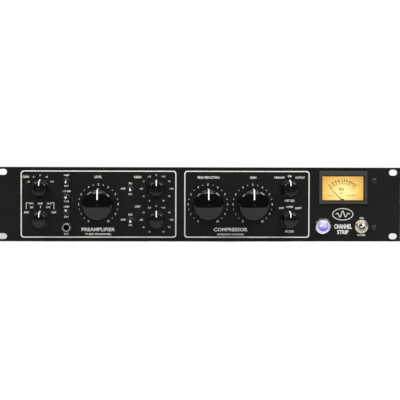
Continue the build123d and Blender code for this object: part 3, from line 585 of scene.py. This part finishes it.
def letter_mesh(text: str, weight: float) -> bpy.types.Mesh:
    """Mesh of a word in the built-in face, one unit tall and centred on its plane.

    Args:
        text: Word to set.
        weight: Thickening of the strokes.

    Returns:
        A mesh in letter units.
    """
    curve = bpy.data.curves.new("lettering", "FONT")
    curve.body = text
    curve.resolution_u = 2
    curve.offset = weight
    curve.extrude = 0.5
    holder = bpy.data.objects.new("lettering", curve)
    bpy.context.scene.collection.objects.link(holder)
    made = bpy.data.meshes.new_from_object(holder)
    bpy.data.objects.remove(holder)
    bpy.data.curves.remove(curve)
    return made


def round_corner(centre: Spot, radius: float, start: float, sides: int = 6) -> list[Spot]:
    """Points of a quarter circle, anticlockwise from an angle in degrees."""
    turns = [math.radians(start + 90.0 * step / sides) for step in range(sides + 1)]
    return [(centre[0] + radius * math.cos(t), centre[1] + radius * math.sin(t)) for t in turns]


def round_box(low: Spot, high: Spot, radius: float) -> list[Spot]:
    """Outline of a rectangle with round corners, anticlockwise.

    Args:
        low: Lower left corner.
        high: Upper right corner.
        radius: Radius of the corners.

    Returns:
        Points of the outline.
    """
    left, right = low[0] + radius, high[0] - radius
    bottom, top = low[1] + radius, high[1] - radius
    corners = (((right, top), 0), ((left, top), 90), ((left, bottom), 180), ((right, bottom), 270))
    return [spot for centre, start in corners for spot in round_corner(centre, radius, start)]


def around(centre: Spot, reach: float, angle: float) -> Spot:
    """Point at a distance from a centre; the angle is in degrees, clockwise from straight up."""
    turn = math.radians(angle)
    return centre[0] + reach * math.sin(turn), centre[1] + reach * math.cos(turn)


def oval(centre: Spot, half: Spot, sides: int) -> list[Spot]:
    """Points of an ellipse, anticlockwise."""
    turns = [2 * math.pi * step / sides for step in range(sides)]
    return [(centre[0] + half[0] * math.cos(t), centre[1] + half[1] * math.sin(t)) for t in turns]


class PrintSheet:
    """Thin raised print on one flat face, gathered into one mesh.

    Places are given as the reader sees them: first number to the right, second upwards.
    """

    LIFT = 0.05
    SUNK = 0.03
    STROKE = 0.022
    SPACING = 0.92
    DOT_SIDES = 12
    ARC_STEP = 4.0

    def __init__(self, facing: Facing, face: float) -> None:
        """Start an empty sheet.

        Args:
            facing: Side that the print is read from.
            face: Place of the printed face along the depth of the unit, in millimetres.
        """
        self.facing = facing
        self.face = face
        self.mesh = bmesh.new()
        tall = letter_mesh("H", 0.0)
        heights = [v.co.y for v in tall.vertices]
        self.cap = max(heights) - min(heights)
        bpy.data.meshes.remove(tall)

    def place(self, right: float, up: float, out: float) -> bmesh.types.BMVert:
        """Add a point.

        Args:
            right: Distance to the reader's right, in millimetres.
            up: Height, in millimetres.
            out: Distance in front of the printed face, in millimetres.

        Returns:
            The new vertex.
        """
        side = self.facing.value
        return self.mesh.verts.new(Vector((right * side, self.face - out * side, up)) * MM)

    def loop(self, outline: list[Spot], out: float) -> list[bmesh.types.BMVert]:
        """Add the points of an outline at one height."""
        return [self.place(spot[0], spot[1], out) for spot in outline]

    def walls(self, front: list[bmesh.types.BMVert], back: list[bmesh.types.BMVert]) -> None:
        """Close two matching loops with quads."""
        for index in range(len(front)):
            after = (index + 1) % len(front)
            self.mesh.faces.new((front[index], back[index], back[after], front[after]))

    def patch(self, outline: list[Spot]) -> None:
        """Print a filled convex shape."""
        front, back = self.loop(outline, self.LIFT), self.loop(outline, -self.SUNK)
        self.mesh.faces.new(front)
        self.mesh.faces.new(list(reversed(back)))
        self.walls(front, back)

    def band(self, outer: list[Spot], inner: list[Spot]) -> None:
        """Print the strip between two matching closed outlines."""
        loops = [self.loop(outline, out) for out in (self.LIFT, -self.SUNK) for outline in (outer, inner)]
        self.walls(loops[0], loops[1])
        self.walls(loops[3], loops[2])
        self.walls(loops[2], loops[0])
        self.walls(loops[1], loops[3])

    def dot(self, spot: Spot, radius: float) -> None:
        """Print a round dot."""
        self.patch(oval(spot, (radius, radius), self.DOT_SIDES))

    def bar(self, start: Spot, end: Spot, width: float) -> None:
        """Print a straight line with square ends.

        Args:
            start: One end.
            end: Other end.
            width: Width of the line.
        """
        along = Vector((end[0] - start[0], end[1] - start[1])).normalized() * width / 2
        side = Vector((-along.y, along.x))
        corners = (Vector(start) - side, Vector(end) - side, Vector(end) + side, Vector(start) + side)
        self.patch([(corner.x, corner.y) for corner in corners])

    def path(self, spots: list[Spot], width: float) -> None:
        """Print a line through a row of points, mitred at each.

        Args:
            spots: Points of the middle of the line.
            width: Width of the line.
        """
        left, right = [], []
        for index, spot in enumerate(spots):
            before, after = spots[max(index - 1, 0)], spots[min(index + 1, len(spots) - 1)]
            along = Vector((after[0] - before[0], after[1] - before[1])).normalized() * width / 2
            left.append((spot[0] - along.y, spot[1] + along.x))
            right.append((spot[0] + along.y, spot[1] - along.x))
        for index in range(len(spots) - 1):
            self.patch([right[index], right[index + 1], left[index + 1], left[index]])

    def box_line(self, low: Spot, high: Spot, radius: float, width: float) -> None:
        """Print a rounded rectangle as a line of even width."""
        inside = (low[0] + width, low[1] + width), (high[0] - width, high[1] - width)
        self.band(round_box(low, high, radius), round_box(*inside, radius - width / 2))

    def arc(self, centre: Spot, radius: float, start: float, end: float, width: float) -> None:
        """Print an arc; angles are in degrees, clockwise from straight up."""
        count = max(4, int(abs(end - start) / self.ARC_STEP))
        turns = [start + (end - start) * step / count for step in range(count + 1)]
        self.path([around(centre, radius, turn) for turn in turns], width)

    def word(self, text: str, spot: Spot, height: float, width: float | None = None) -> None:
        """Print a word centred on a spot.

        Args:
            text: Word to print.
            spot: Its middle.
            height: Height of its capitals.
            width: Full width, or None for the letters' own.
        """
        made = letter_mesh(text, self.STROKE)
        across = [v.co.x for v in made.vertices]
        tall = height / self.cap
        wide = width / (max(across) - min(across)) if width else tall * self.SPACING
        middle_x = (max(across) + min(across)) / 2
        verts = []
        for vert in made.vertices:
            right = spot[0] + (vert.co.x - middle_x) * wide
            up = spot[1] + (vert.co.y - self.cap / 2) * tall
            verts.append(self.place(right, up, self.LIFT if vert.co.z > 0 else -self.SUNK))
        for face in made.polygons:
            self.mesh.faces.new([verts[index] for index in face.vertices])
        bpy.data.meshes.remove(made)

    def piece(self, name: str, finish: Finish) -> bpy.types.Object:
        """Close the sheet and ride it on the case.

        Args:
            name: Name of the piece.
            finish: Ink of the print.

        Returns:
            The printed piece.
        """
        return settle(self.mesh, name, finish, "case")


@dataclass(frozen=True)
class DialScale:
    """Marks printed round one knob; angles are in degrees, clockwise from straight up.

    Attributes:
        knob: Frame node of the knob.
        radius: Radius of the ring of marks.
        words: Angle and text of each label.
        dots: Angles of the plain dots.
        height: Height of the labels.
        wide_shift: Extra distance of a label at a right angle, so that it clears the knob.
    """

    knob: str
    radius: float
    words: tuple[tuple[float, str], ...]
    dots: tuple[float, ...] = ()
    height: float = 2.0
    wide_shift: float = 1.6

    DOT_RADIUS = 0.5

    def print_on(self, sheet: PrintSheet) -> None:
        """Print the scale.

        Args:
            sheet: Sheet that takes the print.
        """
        centre = (middle(self.knob).x, middle(self.knob).z)
        for angle, text in self.words:
            shift = self.wide_shift * math.sin(math.radians(angle)) ** 2 if len(text) > 1 else 0.0
            sheet.word(text, around(centre, self.radius + shift, angle), self.height)
        for angle in self.dots:
            sheet.dot(around(centre, self.radius, angle), self.DOT_RADIUS)


# ---------------------------------------------------------------- sub-assemblies


@dataclass
class PanelPrint:
    """White print of the front panel: outlines, titles, scales and switch words.

    Attributes:
        line: Width of the outlines.
        corner: Radius of their corners.
        half_height: Half the height of the outlines.
        left_box: Left and right ends of the first outline.
        right_box: Left and right ends of the second outline.
    """

    line: float = 1.2
    corner: float = 3.6
    half_height: float = 39.8
    left_box: Spot = (-211.2, -26.7)
    right_box: Spot = (-17.2, 132.2)

    # Each row holds a word, its place to the right, its height up, its letters' height and its width.
    TITLES = (("GAIN", -205.2, 32.4, 2.6, 7.6), ("LEVEL", -119.4, 32.4, 2.6, 8.8),
              ("HIGH", -72.6, 32.2, 2.6, 8.4), ("LOW", -72.6, -2.7, 2.6, 6.4),
              ("PEAK REDUCTION", 11.6, 31.9, 2.6, 25.8), ("GAIN", 64.7, 31.9, 2.6, 7.6),
              ("METER", 108.5, 4.4, 2.6, 11.6), ("MODE", 108.3, -32.2, 2.6, 10.0))
    SECTIONS = (("PREAMPLIFIER", -119.4, -30.1, 3.9, 39.5), ("TUBE CHANNEL", -119.4, -35.6, 1.9, 31.5),
                ("COMPRESSOR", 38.1, -30.1, 3.9, 40.5), ("LEVELLING CHANNEL", 38.1, -35.8, 1.9, 32.0))
    SWITCH_WORDS = (("+48V", -157.0, 34.2, 2.1, 6.6), ("OFF", -157.0, 21.5, 2.1, 5.4),
                    ("-15 DB", -157.0, 15.3, 2.1, 9.4), ("0 DB", -157.0, 3.3, 2.1, 5.8),
                    ("NORM", -157.0, -3.1, 2.1, 6.2), ("INV", -157.0, -15.2, 2.1, 5.2),
                    ("INST", -157.0, -35.5, 2.1, 6.0), ("7K", -81.3, 24.6, 2.1, 4.2),
                    ("4.5K", -89.8, 18.5, 2.1, 5.8), ("10K", -81.3, 12.0, 2.1, 5.0),
                    ("200", -81.3, -12.4, 2.1, 4.8), ("100", -89.8, -18.5, 2.1, 5.4),
                    ("70", -81.3, -25.0, 2.1, 4.0), ("ON", 194.6, -16.3, 2.1, 4.6),
                    ("POWER", 194.6, -36.6, 2.2, 9.6))
    # The rows of a selector start from the middle of its knob.
    SELECTOR_WORDS = (
        ("input_select_knob", (("500", -16.2, 8.7, 2.2, 5.6), ("2M", 16.2, 8.7, 2.2, 5.0),
                               ("2K", -9.8, 14.7, 2.1, 4.2), ("47K", 9.6, 14.7, 2.1, 5.4),
                               ("MIC", -10.4, 19.2, 2.1, 5.4), ("LINE", 0.5, 19.2, 2.1, 5.4),
                               ("HI-Z", 10.8, 19.2, 2.1, 5.4))),
        ("meter_select_knob", (("PREAMP", -12.0, 13.4, 2.2, 12.4), ("GR", 0.2, 15.1, 2.2, 4.8),
                               ("OUTPUT", 12.4, 13.4, 2.2, 11.4))),
        ("mode_select_knob", (("BYP", -9.5, 14.0, 2.2, 5.6), ("COMP", 0.2, 15.4, 2.2, 8.4),
                              ("LIMIT", 10.8, 14.0, 2.2, 7.8))),
    )
    BRACKET_LINE = 0.7
    BOOST_STEPS = ("-9", "-6", "-4.5", "-3", "-1.5", "0", "+1.5", "+3", "+4.5", "+6", "+9")
    GAIN_STEPS = ("-10", "-5", "0", "+5", "+10")
    STEP_ANGLE = 30.0

    def sheet(self) -> PrintSheet:
        """An empty sheet on the panel's front face."""
        return PrintSheet(Facing.FRONT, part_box("front_panel")[0].y / MM)

    def outlines(self) -> bpy.types.Object:
        """Print the two outlines.

        Returns:
            The outline piece.
        """
        sheet = self.sheet()
        for left, right in (self.left_box, self.right_box):
            sheet.box_line((left, -self.half_height), (right, self.half_height), self.corner, self.line)
        return sheet.piece("panel_outlines", PRINT_INK)

    def lettering(self) -> bpy.types.Object:
        """Print the titles and the names of the two sections.

        Returns:
            The title piece.
        """
        sheet = self.sheet()
        for text, right, up, height, width in self.TITLES + self.SECTIONS:
            sheet.word(text, (right, up), height, width)
        return sheet.piece("panel_titles", PRINT_INK)

    def switch_words(self) -> bpy.types.Object:
        """Print the words beside the switches and selectors.

        Returns:
            The word piece.
        """
        sheet = self.sheet()
        for text, right, up, height, width in self.SWITCH_WORDS:
            sheet.word(text, (right, up), height, width)
        for knob, words in self.SELECTOR_WORDS:
            centre = middle(knob)
            for text, right, up, height, width in words:
                sheet.word(text, (centre.x + right, centre.z + up), height, width)
        self.brackets(sheet, middle("input_select_knob"))
        return sheet.piece("panel_switch_words", PRINT_INK)

    def brackets(self, sheet: PrintSheet, centre: Vector) -> None:
        """Print the lines that lead from the input names down to the selector.

        Args:
            sheet: Sheet that takes the print.
            centre: Middle of the selector's knob.
        """
        for side in (-1, 1):
            edge = centre.x + side * 16.4
            sheet.bar((edge, centre.z + 20.3), (edge, centre.z + 12.4), self.BRACKET_LINE)
            sheet.bar((edge, centre.z + 20.0), (edge - side * 2.6, centre.z + 20.0), self.BRACKET_LINE)
        stem = centre.x + 0.5
        sheet.bar((stem, centre.z + 16.4), (stem, centre.z + 13.6), self.BRACKET_LINE)

    def dial(self, texts: list[str] | tuple[str, ...]) -> tuple[tuple[float, str], ...]:
        """Angle and text of each label, evenly spread to both sides of straight up."""
        start = -self.STEP_ANGLE * (len(texts) - 1) / 2
        return tuple((start + self.STEP_ANGLE * index, text) for index, text in enumerate(texts))

    def scales(self) -> bpy.types.Object:
        """Print the scale round each knob.

        Returns:
            The scale piece.
        """
        sheet = self.sheet()
        tens = self.dial([str(step) for step in range(11)])
        halves = tuple(angle + self.STEP_ANGLE / 2 for angle, _ in tens[:-1])
        steps, gains = self.dial(self.BOOST_STEPS), self.dial(self.GAIN_STEPS)
        for knob in ("level_knob", "reduction_knob", "output_gain_knob"):
            DialScale(knob, 23.4, tens, halves, height=2.3, wide_shift=0.0).print_on(sheet)
        for knob in ("high_boost_knob", "low_boost_knob"):
            DialScale(knob, 16.2, steps, height=1.9, wide_shift=1.8).print_on(sheet)
        DialScale("input_gain_knob", 15.6, gains, height=2.0, wide_shift=0.6).print_on(sheet)
        return sheet.piece("panel_scales", PRINT_INK)

    def build(self) -> list[bpy.types.Object]:
        """Make all the print of the front panel.

        Returns:
            The printed pieces.
        """
        return [self.outlines(), self.lettering(), self.switch_words(), self.scales()]


@dataclass
class Emblem:
    """A plain oval badge with one wave in it, and the two words below it.

    Attributes:
        centre: Middle of the oval.
        half: Half its width and height.
        line: Width of its lines.
    """

    centre: Spot = (172.2, -11.7)
    half: Spot = (12.6, 7.2)
    line: float = 0.75

    WORDS = (("CHANNEL", 172.6, -26.3, 5.2, 21.0), ("STRIP", 172.4, -33.0, 4.4, 13.6))
    SIDES = 48
    HALF_WAVES = 5
    WAVE_HEIGHT = 4.2
    WAVE_REACH = 0.68

    def build(self) -> list[bpy.types.Object]:
        """Make the badge.

        Returns:
            The badge and its words.
        """
        badge = PrintSheet(Facing.FRONT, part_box("front_panel")[0].y / MM)
        inner = (self.half[0] - self.line, self.half[1] - self.line)
        badge.band(oval(self.centre, self.half, self.SIDES), oval(self.centre, inner, self.SIDES))
        reach = self.half[0] * self.WAVE_REACH
        wave = []
        for step in range(self.SIDES // 2 + 1):
            share = 2 * step / self.SIDES
            swing = math.sin(math.pi * share) * math.sin(self.HALF_WAVES * math.pi * share)
            right = self.centre[0] + reach * (2 * share - 1)
            wave.append((right, self.centre[1] + self.WAVE_HEIGHT * swing))
        badge.path(wave, self.line)
        for text, right, up, height, width in self.WORDS:
            badge.word(text, (right, up), height, width)
        return [badge.piece("unit_badge", PRINT_INK)]


@dataclass
class KnobPointer:
    """White pointer line laid over a knob, from its foot up over the rim to the face.

    Attributes:
        knob: Frame node of the knob.
        body: Frame body of the knob.
        width: Width of the line.
        foot: Distance of the line's foot from the panel's plane.
        inner: Distance of the line's inner end from the knob's middle.
        rows: Rows of points on the side and on the face.
    """

    knob: str
    body: str
    width: float
    foot: float
    inner: float
    rows: int = 14

    LIFT = 0.06
    SUNK = 0.05
    RIM_DEPTH = 0.0035
    RIM_GAP = 0.00008
    CLEAR = 0.01

    def hits(self) -> list[tuple[Vector, Vector, Vector, Vector]]:
        """Find the surface under both edges of the line, row by row.

        Returns:
            Left point, left normal, right point and right normal of each row.
        """
        data = frame["nodes"][self.knob].data
        tree = BVHTree.FromPolygons([v.co for v in data.vertices], [p.vertices for p in data.polygons])
        low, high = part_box(self.knob)
        centre = middle(self.knob) * MM
        top = high.z + self.CLEAR
        foot, rim = -self.foot * MM, low.y + self.RIM_DEPTH
        found = []
        for step in range(self.rows * 2):
            share = (step % self.rows) / (self.rows - 1)
            pair = []
            for side in (-1, 1):
                across = centre.x + side * self.width * MM / 2
                if step < self.rows:
                    depth = foot + (rim - foot) * share
                    hit = tree.ray_cast(Vector((across, depth, top)), Vector((0, 0, -1)))
                else:
                    start = self.edge_height(tree, across, rim, top) - self.RIM_GAP
                    up = start + (centre.z + self.inner * MM - start) * share
                    hit = tree.ray_cast(Vector((across, low.y - self.CLEAR, up)), Vector((0, 1, 0)))
                pair.extend((hit[0], hit[1]))
            if None not in pair:
                found.append(tuple(pair))
        return found

    def edge_height(self, tree: BVHTree, across: float, depth: float, top: float) -> float:
        """Height of the knob's side at one depth.

        Args:
            tree: Surface of the knob.
            across: Place across the unit, in metres.
            depth: Place along the depth, in metres.
            top: A height above the knob, in metres.

        Returns:
            The height, in metres.
        """
        return tree.ray_cast(Vector((across, depth, top)), Vector((0, 0, -1)))[0].z

    def build(self) -> list[bpy.types.Object]:
        """Make the pointer.

        Returns:
            The pointer piece.
        """
        mesh = bmesh.new()
        rows = []
        for left, left_normal, right, right_normal in self.hits():
            corners = [(left, left_normal, self.LIFT), (right, right_normal, self.LIFT),
                       (right, right_normal, -self.SUNK), (left, left_normal, -self.SUNK)]
            rows.append([mesh.verts.new(point + normal * out * MM) for point, normal, out in corners])
        for before, after in zip(rows, rows[1:]):
            for index in range(4):
                following = (index + 1) % 4
                mesh.faces.new((before[index], before[following], after[following], after[index]))
        mesh.faces.new(rows[0])
        mesh.faces.new(list(reversed(rows[-1])))
        name = self.knob.replace("_knob", "_pointer")
        return [settle(mesh, name, POINTER_INK, self.body)]


@dataclass
class MeterFace:
    """Scale printed on the meter card round the needle's pivot.

    Attributes:
        sweep: Angle of the scale's ends from straight up, in degrees.
        radius: Radius of the scale's arc.
    """

    sweep: float = 42.0
    radius: float = 21.2
    NUMBERS = (("20", -42), ("10", -29), ("7", -20), ("5", -11), ("3", -2), ("2", 5), ("1", 12), ("0", 20),
               ("1", 27), ("2", 34), ("3", 42))
    ZERO_ANGLE = 20.0

    def pivot(self) -> Spot:
        """Place of the needle's pivot, from its joint.

        Returns:
            Right and up of the pivot, in millimetres.
        """
        swing = next(joint for joint in frame["joints"] if joint["child"] == "needle")
        return swing["pos_m"][0] / MM, swing["pos_m"][2] / MM

    def tick(self, sheet: PrintSheet, centre: Spot, angle: float, reach: Spot, width: float) -> None:
        """Print one mark of the scale.

        Args:
            sheet: Sheet that takes the print.
            centre: Place of the pivot.
            angle: Angle of the mark, in degrees clockwise from straight up.
            reach: Distance of its two ends from the ring of numbers.
            width: Width of the mark.
        """
        inner, outer = (around(centre, self.radius + end, angle) for end in reach)
        sheet.bar(inner, outer, width)

    def build(self) -> list[bpy.types.Object]:
        """Make the scale and its red zone.

        Returns:
            The two printed pieces.
        """
        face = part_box("meter_dial")[0].y / MM
        centre = self.pivot()
        black, red = PrintSheet(Facing.FRONT, face), PrintSheet(Facing.FRONT, face)
        black.arc(centre, self.radius + 2.6, -self.sweep, self.ZERO_ANGLE, 0.3)
        red.arc(centre, self.radius + 2.8, self.ZERO_ANGLE, self.sweep, 0.9)
        for text, angle in self.NUMBERS:
            sheet = red if angle > self.ZERO_ANGLE else black
            sheet.word(text, around(centre, self.radius, angle), 2.4)
            self.tick(sheet, centre, angle, (2.0, 5.0), 0.6)
        for step in range(15):
            self.tick(black, centre, 4.0 * step - 38.0, (2.6, 3.8), 0.32)
        black.word("VU", (centre[0] - 1.6, centre[1] + 13.8), 3.0, 6.0)
        black.bar((centre[0] - 2.6, centre[1] + 9.2), (centre[0] - 0.6, centre[1] + 9.2), 0.8)
        black.word("LEVEL", (centre[0] - 14.4, centre[1] + 6.2), 0.9, 8.0)
        black.word("DECIBELS", (centre[0] + 10.9, centre[1] + 6.2), 0.9, 11.0)
        return [black.piece("meter_scale", DIAL_INK), red.piece("meter_red_zone", RED_ZONE)]


@dataclass
class RearPrint:
    """Plain words above the rear connectors.

    Attributes:
        rise: Height of the words above the connectors' middle.
        height: Height of the capitals.
    """

    rise: float = 21.0
    height: float = 3.0

    WORDS = (("mic_latch", "MIC"), ("line_latch", "LINE"), ("output_jack", "OUTPUT"),
             ("mains_inlet", "MAINS"))

    def build(self) -> list[bpy.types.Object]:
        """Make the words.

        Returns:
            The printed piece.
        """
        sheet = PrintSheet(Facing.REAR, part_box("rear_panel")[1].y / MM)
        level = middle("output_jack").z
        for node, text in self.WORDS:
            sheet.word(text, (-middle(node).x, level + self.rise), self.height)
        left, right = -middle("line_latch").x, -middle("mic_latch").x
        under = level - self.rise
        sheet.word("INPUTS", ((left + right) / 2, under - 3.0), self.height)
        sheet.bar((left - 12.0, under + 0.6), (right + 12.0, under + 0.6), 0.5)
        return [sheet.piece("rear_words", BLACK_PRINT)]


@dataclass
class FrameDressing:
    """Finish of each frame node that shows as it is."""

    GROUPS = (
        (PANEL_COAT, "front_panel"),
        (ZINC, "sub_panel base_plate top_cover left_side right_side rear_panel"),
        (SCREW_ZINC, "chassis_screws board_pillars"),
        (BLACK_STEEL, "panel_screws panel_nuts toggle_switches"),
        (BEZEL_SATIN, "meter_case"),
        (MOULDING, "fuse_drawer mains_inlet input_jacks socket_cores output_jack meter_movement"),
        (JACK_PLATING, "instrument_jack"),
        (CHROME, "jewel_bezel supply_lever pad_lever phase_lever high_lever low_lever power_lever "
                 "mic_latch line_latch connector_pins"),
        (NICKEL, "power_nut"),
        (SWITCH_PLATING, "power_switch"),
        (SHAFT_STEEL, "level_spindle reduction_spindle output_gain_spindle control_nuts"),
        (KNOB_GLOSS, "level_knob reduction_knob output_gain_knob"),
        (KNOB_SATIN, "input_gain_knob input_select_knob high_boost_knob low_boost_knob meter_select_knob "
                     "mode_select_knob"),
        (PHENOLIC, "potentiometers rotary_switches"),
        (CERAMIC, "valve_sockets"),
        (BLACK_STEEL, "optical_cell"),
        (SOLDER_MASK, "main_board"),
        (CORE_STEEL, "mains_transformer audio_transformers"),
        (CAN_METAL, "filter_capacitors"),
        (METER_PANE, "meter_window"),
        (VALVE_GLASS, "valves mains_fuse"),
        (DIAL_CARD, "meter_dial"),
        (NEEDLE_BLACK, "meter_needle"),
        (LAMP_GLOW, "pilot_lamps"),
        (JEWEL_GLOW, "jewel_lens"),
    )

    def build(self) -> list[bpy.types.Object]:
        """Dress every frame node.

        Returns:
            The dressed nodes.
        """
        dressed = []
        for finish, names in self.GROUPS:
            for name in names.split():
                dress(frame["nodes"][name], finish)
                dressed.append(frame["nodes"][name])
        for name in sorted(set(frame["nodes"]) - {node.name for node in dressed}):
            LOG.warning("%s has no finish", name)
        return dressed


# ---------------------------------------------------------------- studio


def looking(place: Place, target: Place) -> Matrix:
    """Pose of a camera or light at one point that faces another."""
    turn = (Vector(target) - Vector(place)).to_track_quat("-Z", "Y")
    return Matrix.Translation(place) @ turn.to_matrix().to_4x4()


@dataclass(frozen=True)
class SoftLight:
    """A rectangular soft light.

    Attributes:
        name: Name of the light.
        place: Its middle, in metres.
        target: Point that it faces, in metres.
        size: Its width and depth, in metres.
        watts: Its power.
    """

    name: str
    place: Place
    target: Place
    size: Spot
    watts: float

    def build(self) -> bpy.types.Object:
        """Hang the light.

        Returns:
            The light.
        """
        light = bpy.data.lights.new(self.name, "AREA")
        light.shape = "RECTANGLE"
        light.size, light.size_y = self.size
        light.energy = self.watts
        holder = bpy.data.objects.new(self.name, light)
        holder.matrix_world = looking(self.place, self.target)
        bpy.context.scene.collection.objects.link(holder)
        return holder


@dataclass
class Studio:
    """Pale floor, soft lights, a dim surround and the camera.

    Attributes:
        floor_front: Front edge of the floor, in metres.
        floor_back: Back edge of the floor, in metres.
        floor_side: Half the floor's width, in metres.
        floor_gap: Gap between the floor and the unit, in metres.
        surround: Grey of the surround as the object sees it.
        eye: Camera's place, in metres.
        aim: Point that the camera looks at, in metres.
        lens: Focal length on a frame of the sensor's width.
        sensor: Width of the camera's sensor, in millimetres.
        slide: Sideways shift of the frame, as a share of its width.
        roll: Turn of the camera about its own axis, in degrees.
    """

    floor_front: float = -0.36
    floor_back: float = 1.6
    floor_side: float = 1.6
    floor_gap: float = 0.0002
    surround: float = 0.035
    eye: Place = (-0.042, -1.25, 0.030)
    aim: Place = (-0.0115, 0.0, 0.005)
    lens: float = 94.35
    sensor: float = 36.0
    slide: float = 0.0274
    roll: float = 0.12

    LIGHTS = (SoftLight("overhead_light", (0.0, -0.45, 1.0), (0.0, -0.45, 0.0), (1.0, 0.9), 8.5),
              SoftLight("left_light", (-0.85, -0.5, 0.85), (-0.85, -0.5, 0.0), (0.5, 0.75), 15.0),
              SoftLight("right_light", (0.85, -0.5, 0.85), (0.85, -0.5, 0.0), (0.5, 0.75), 22.0),
              SoftLight("front_card", (0.0, -1.75, 0.73), (0.0, 0.0, 0.0), (2.0, 0.22), 6.8))

    def floor(self) -> bpy.types.Object:
        """Lay the floor just under the unit.

        Returns:
            The floor.
        """
        height = FRAME_BOX[0].z - self.floor_gap
        mesh = bmesh.new()
        bmesh.ops.create_grid(mesh, x_segments=12, y_segments=12, size=1.0)
        for vert in mesh.verts:
            deep = self.floor_front + (self.floor_back - self.floor_front) * (vert.co.y + 1) / 2
            vert.co = Vector((vert.co.x * self.floor_side, deep, height))
        data = bpy.data.meshes.new("studio_floor")
        mesh.to_mesh(data)
        mesh.free()
        floor = bpy.data.objects.new("studio_floor", data)
        bpy.context.scene.collection.objects.link(floor)
        dress(floor, PALE_FLOOR)
        return floor

    def air(self) -> None:
        """Give the scene a white surround for the eye that is dim for the object."""
        world = bpy.data.worlds.new("studio_air")
        world.use_nodes = True
        nodes, links = world.node_tree.nodes, world.node_tree.links
        nodes.clear()
        seen, felt = nodes.new("ShaderNodeBackground"), nodes.new("ShaderNodeBackground")
        seen.inputs["Color"].default_value = (1, 1, 1, 1)
        felt.inputs["Color"].default_value = (self.surround, self.surround, self.surround, 1)
        mixed, output = nodes.new("ShaderNodeMixShader"), nodes.new("ShaderNodeOutputWorld")
        links.new(nodes.new("ShaderNodeLightPath").outputs["Is Camera Ray"], mixed.inputs[0])
        links.new(felt.outputs[0], mixed.inputs[1])
        links.new(seen.outputs[0], mixed.inputs[2])
        links.new(mixed.outputs[0], output.inputs["Surface"])
        bpy.context.scene.world = world

    def camera(self) -> bpy.types.Object:
        """Set up the camera.

        Returns:
            The camera.
        """
        data = bpy.data.cameras.new("studio_camera")
        data.lens, data.sensor_width, data.shift_x = self.lens, self.sensor, self.slide
        data.clip_start, data.clip_end = 0.01, 50.0
        holder = bpy.data.objects.new("studio_camera", data)
        rolled = Matrix.Rotation(math.radians(self.roll), 4, "Z")
        holder.matrix_world = looking(self.eye, self.aim) @ rolled
        bpy.context.scene.collection.objects.link(holder)
        bpy.context.scene.camera = holder
        return holder

    def build(self) -> list[bpy.types.Object]:
        """Make the studio.

        Returns:
            Its floor, lights and camera.
        """
        bpy.context.scene.view_settings.view_transform = "Standard"
        self.air()
        return [self.camera(), self.floor(), *[light.build() for light in self.LIGHTS]]


def pointers() -> list[KnobPointer]:
    """Pointers of the large knobs, then of the small ones."""
    large = ("level", "reduction", "output_gain")
    small = ("input_gain", "input_select", "high_boost", "low_boost", "meter_select", "mode_select")
    made = [KnobPointer(f"{name}_knob", name, width=1.4, foot=5.0, inner=5.5) for name in large]
    made += [KnobPointer(f"{name}_knob", name, width=1.15, foot=3.9, inner=3.3) for name in small]
    return made


def main() -> None:
    """Build the sub-assemblies in order and report each piece."""
    logging.basicConfig(level=logging.INFO, format="%(message)s")
    printed = [PanelPrint(), Emblem(), *pointers(), MeterFace(), RearPrint()]
    for assembly in [FrameDressing(), *printed, Studio()]:
        for piece in assembly.build():
            LOG.info("%s: %s", type(assembly).__name__, piece.name)


if __name__ == "__main__":
    main()
